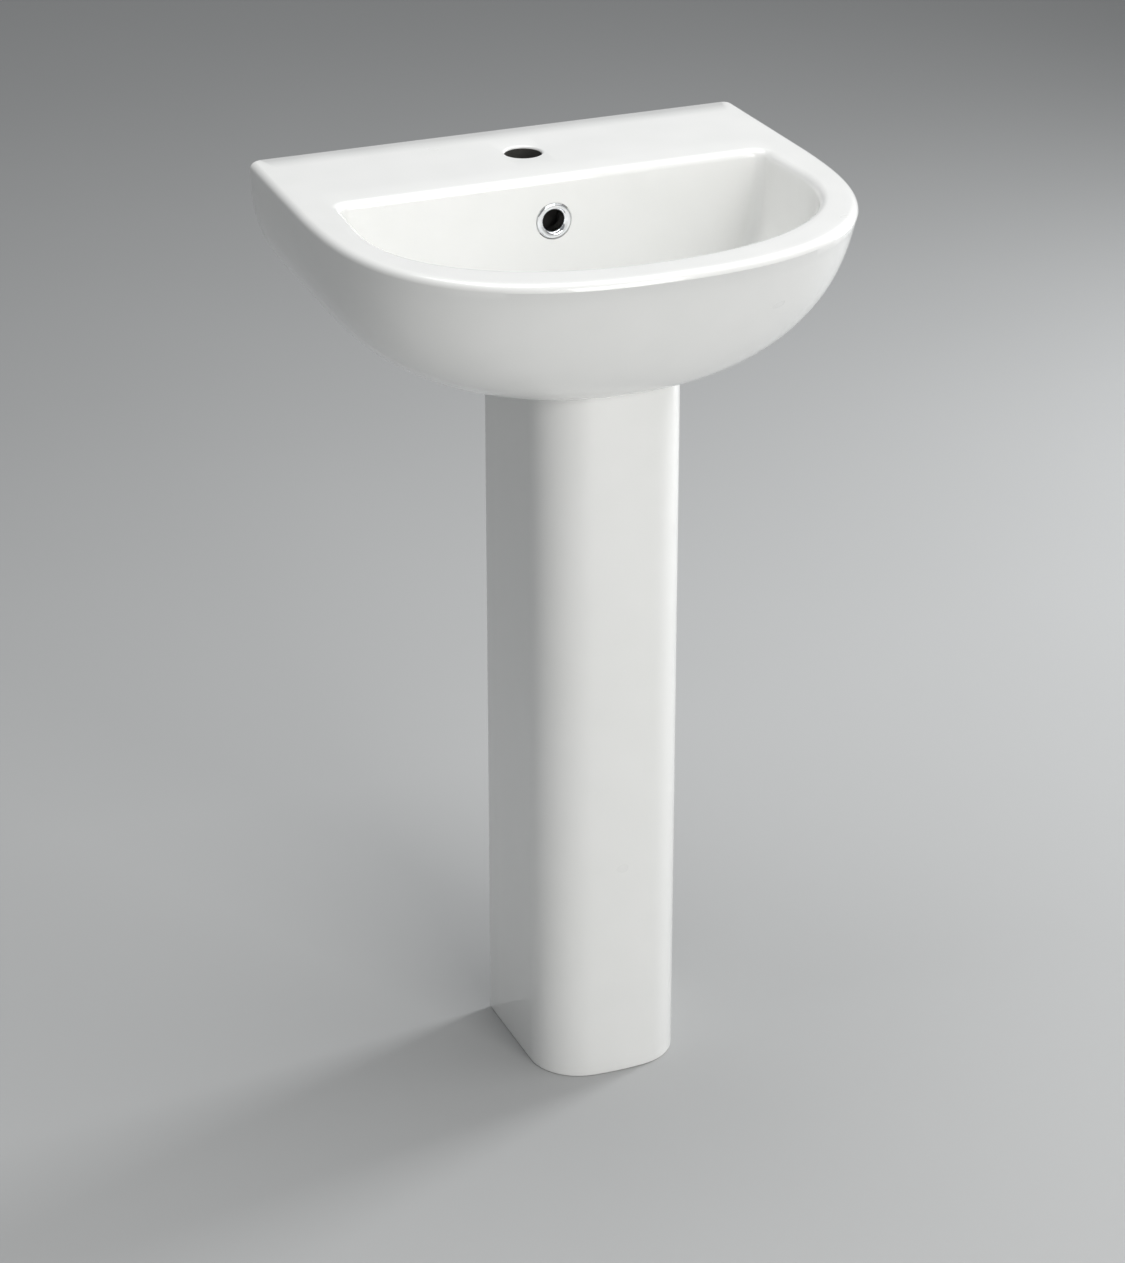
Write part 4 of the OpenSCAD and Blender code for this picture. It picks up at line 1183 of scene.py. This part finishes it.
# %% Mould the body
body_low, body_high = (corner.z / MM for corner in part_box("trap_body"))
body_r, body_wall, neck_r, neck_h, cup_thread = 29, 3, 21.4, 12, 15
body_top = body_high - neck_h
flange_z = body_low + cup_thread + 1.3
outside = [(0, body_low), (body_r - 1.2, body_low), (body_r - 0.5, body_low + 0.7)]
for k in range(3):
    base = body_low + 1.4 + 4 * k
    outside += [(body_r - 0.7, base), (body_r, base + 1.0), (body_r, base + 2.0),
                (body_r - 0.7, base + 3.0)]
outside += [(body_r - 0.7, flange_z), (body_r + 1.6, flange_z), (body_r + 2, flange_z + 0.4),
            (body_r + 2, flange_z + 2.6), (body_r + 1.6, flange_z + 3),
            (body_r + 0.6, flange_z + 3.4),
            (body_r, flange_z + 4.2), (body_r, body_top - 7)]
outside += arc((body_r - 6, body_top - 7), 6, 0, 70, 6)[1:]
outside += [(neck_r + 1.2, body_top - 0.4), (neck_r + 0.2, body_top + 0.2),
            (neck_r - 0.6, body_top + 0.9)]
for k in range(3):
    base = body_top + 2 + 3 * k
    outside += [(neck_r - 0.6, base), (neck_r, base + 0.7), (neck_r, base + 1.3),
                (neck_r - 0.6, base + 2)]
outside += [(neck_r - 0.6, body_high - 0.6), (neck_r - 1.2, body_high), (0, body_high)]
trap_body = turned("trap_bottle", outside, 96)
put(trap_body, (0, axis_y, 0))

# %% Add the side outlet and hollow the body
stub_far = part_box("trap_outlet_nut")[1].y / MM - 7
stub_near = wall / MM - stub_far
axis_out = waste_out / MM
stub = [(0, stub_near), (18.6, stub_near), (19.0, stub_near + 0.6)]
for k in range(6):
    base = stub_near + 1.2 + 2.4 * k
    stub += [(18.9, base), (19.4, base + 0.5), (19.4, base + 1.1), (18.9, base + 1.6)]
stub += [(18.9, stub_near + 16), (19.6, stub_near + 16.6), (20.2, stub_near + 18.5),
         (22.5, stub_near + 24), (24.5, stub_near + 28), (24.5, axis_out - 8), (0, axis_out - 8)]
outlet = turned("stub", stub, 96)
put(outlet, (0, wall, outlet_z), along_wall)
carve(trap_body, outlet, "UNION")
inside = turned("cavity", [
    (0, body_low - 1), (body_r - body_wall, body_low - 1), (body_r - body_wall, body_top - 12),
    (body_r - body_wall - 2, body_top - 9), (16.4, body_top - 8), (16.4, body_high - 0.8),
    (17.2, body_high + 1), (0, body_high + 1)], 96)
carve(trap_body, put(inside, (0, axis_y, 0)))
socket_end = stub_near + 16.4
tunnel = turned("tunnel", [(0, stub_near - 1), (17.0, stub_near - 1), (16.4, stub_near + 0.8),
                           (16.4, socket_end), (14, socket_end), (14, axis_out), (0, axis_out)], 96)
carve(trap_body, put(tunnel, (0, wall, outlet_z), along_wall))
finish(trap_body, plastic, "sink", "plastic", "trap_body")

# %% [markdown]
# ## The cup
#
# The cup screws on to the body's foot and comes off by hand, so its collar is ribbed like a
# jar's lid. Below the collar it narrows to a plain bowl with a rounded bottom, where the
# water stands. Outside and inside are one profile, so the wall comes out even.

# %% Mould the cup
cup_low, cup_high = (corner.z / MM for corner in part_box("trap_cup"))
collar_low = cup_high - 23.8
seat = cup_high - 17.8
cup_profile = [(0, cup_low), (19, cup_low), (20.5, cup_low + 0.5), (22, cup_low + 1.4)]
cup_profile += arc((22.5, cup_low + 8), 6.5, -75, 0, 8)
cup_profile += [(29, cup_low + 10), (29, collar_low - 1.5), (29.6, collar_low - 0.8),
                (31.4, collar_low + 0.2),
                (32.3, collar_low + 1.5), (32.3, collar_low + 2.6), (32.3, cup_high - 2.6),
                (32.3, cup_high - 1.4),
                (31.8, cup_high - 0.4), (31.2, cup_high), (30.2, cup_high), (29.3, cup_high - 1)]
for k in range(3):
    base = cup_high - 1.6 - 4 * k
    cup_profile += [(29.3, base), (30.0, base - 1.0), (30.0, base - 2.0), (29.3, base - 3.0)]
cup_profile += [(29.3, seat), (26, seat), (26, cup_low + 10)]
cup_profile += arc((21, cup_low + 9), 5, 0, -80, 6)[1:] + [(0, cup_low + 4)]
cup = turned("trap_bowl", cup_profile, 96)
pull_ribs(cup, 24, collar_low + 2.6, cup_high - 2.6, 32.3, 1.15)
soften(cup, 0.35 * MM, 2, 40)
finish(put(cup, (0, axis_y, 0)), plastic, "cup", "plastic", "trap_cup")

# %% [markdown]
# ## The wall fixings
#
# Two hanger studs hold the basin to the wall: half of each bites in a nylon plug, the other
# half carries a sleeve, a washer and a nut. Everything is modelled once for the left side and
# copied to the right, each copy with its own mesh.

# %% Make the stud, its plug and its nut
pair = 2 * stud_x
plug_out = (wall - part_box("wall_plugs")[1].y) / MM
stud_in, stud_out = ((wall - corner.y) / MM for corner in reversed(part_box("wall_studs")))

profile = [(5.05, plug_out + 3), (5.05, plug_out), (6.2, plug_out), (6.6, plug_out + 0.6)]
for k in range(14):
    base = plug_out + 3 + 3.6 * k
    profile += [(6.3, base), (7.0, base + 2.6), (7.0, base + 3.0), (6.3, base + 3.1)]
profile += [(6.6, -2.2), (7.0, -1.6), (7.0, 0), (5.05, 0)]
plug = turned("wall_plug_left", [p for p in profile if p[1] <= 0], 48)
slit = block("slit", (-9 * MM, -0.8 * MM, (plug_out - 1) * MM), (9 * MM, 0.8 * MM, -14 * MM), 0)
carve(plug, slit)
soften(plug, 0.15 * MM, 1, 40)

stud = threaded("wall_stud_left", 4.2, 5.0, 1.5, 1, stud_out, 40)
shank = turned("shank", [(0, 1.2), (4.95, 1.2), (4.95, -6), (4.4, -7), (4.4, -9)]
               + [(r, -9 - 3.2 * k - dz) for k in range(13)
                  for r, dz in ((4.0, 0), (4.95, 1.4), (4.0, 1.9))]
               + [(1.2, stud_in + 1), (0, stud_in)], 40)
carve(stud, shank, "UNION")
point = turned("point", [(0, -70), (6, -70), (6, stud_out - 1.1), (4.1, stud_out),
                         (0, stud_out)], 40)
carve(stud, point, "INTERSECT")

sleeve = turned("sleeve_left", [(5.4, 1), (7.2, 1), (7.6, 1.8), (7.6, 13), (12.6, 13), (13, 13.4),
                                (13, 15.6), (12.6, 16), (5.8, 16), (5.4, 15.6)], 64)
ring = washer("washer_left", 14, 5.5, 16, 18, 0.5, 64)
nut = hexagon_nut("hex_nut_left", 17, 5.0, 18, 26, 64)
soften(nut, 0.25 * MM, 2)

# %% Fit one set on each side
fixings = ((plug, nylon, "nylon", "wall_plugs"), (stud, zinc, "steel", "wall_studs"),
           (sleeve, nylon, "nylon", "stud_bushes"), (ring, zinc, "steel", "stud_washers"),
           (nut, zinc, "steel", "stud_nuts"))
for piece, material, slot_name, node_name in fixings:
    put(piece, (-stud_x, wall, stud_z), along_wall)
    other = twin(piece, piece.name.replace("left", "right"), (pair, 0, 0))
    for one in (piece, other):
        finish(one, material, "sink", slot_name, node_name)

# %% [markdown]
# ## Pieces that keep their working shape
#
# The inner seals, the plug's stem, its cartridge and its spring are sealed inside other
# pieces, and their working shapes are already true. They only need their materials.

# %% Give the inner pieces their finishes
inner = {"waste_top_seal": rubber, "trap_inlet_seal": rubber, "trap_top_seal": rubber,
         "trap_cup_seal": rubber, "trap_outlet_seal": rubber, "plug_stem": brass,
         "plug_cartridge": plastic, "plug_spring": zinc}
for name, material in inner.items():
    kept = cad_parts[name]
    kept.data.materials.clear()
    kept.data.materials.append(material)
print("kept as they are:", ", ".join(inner))
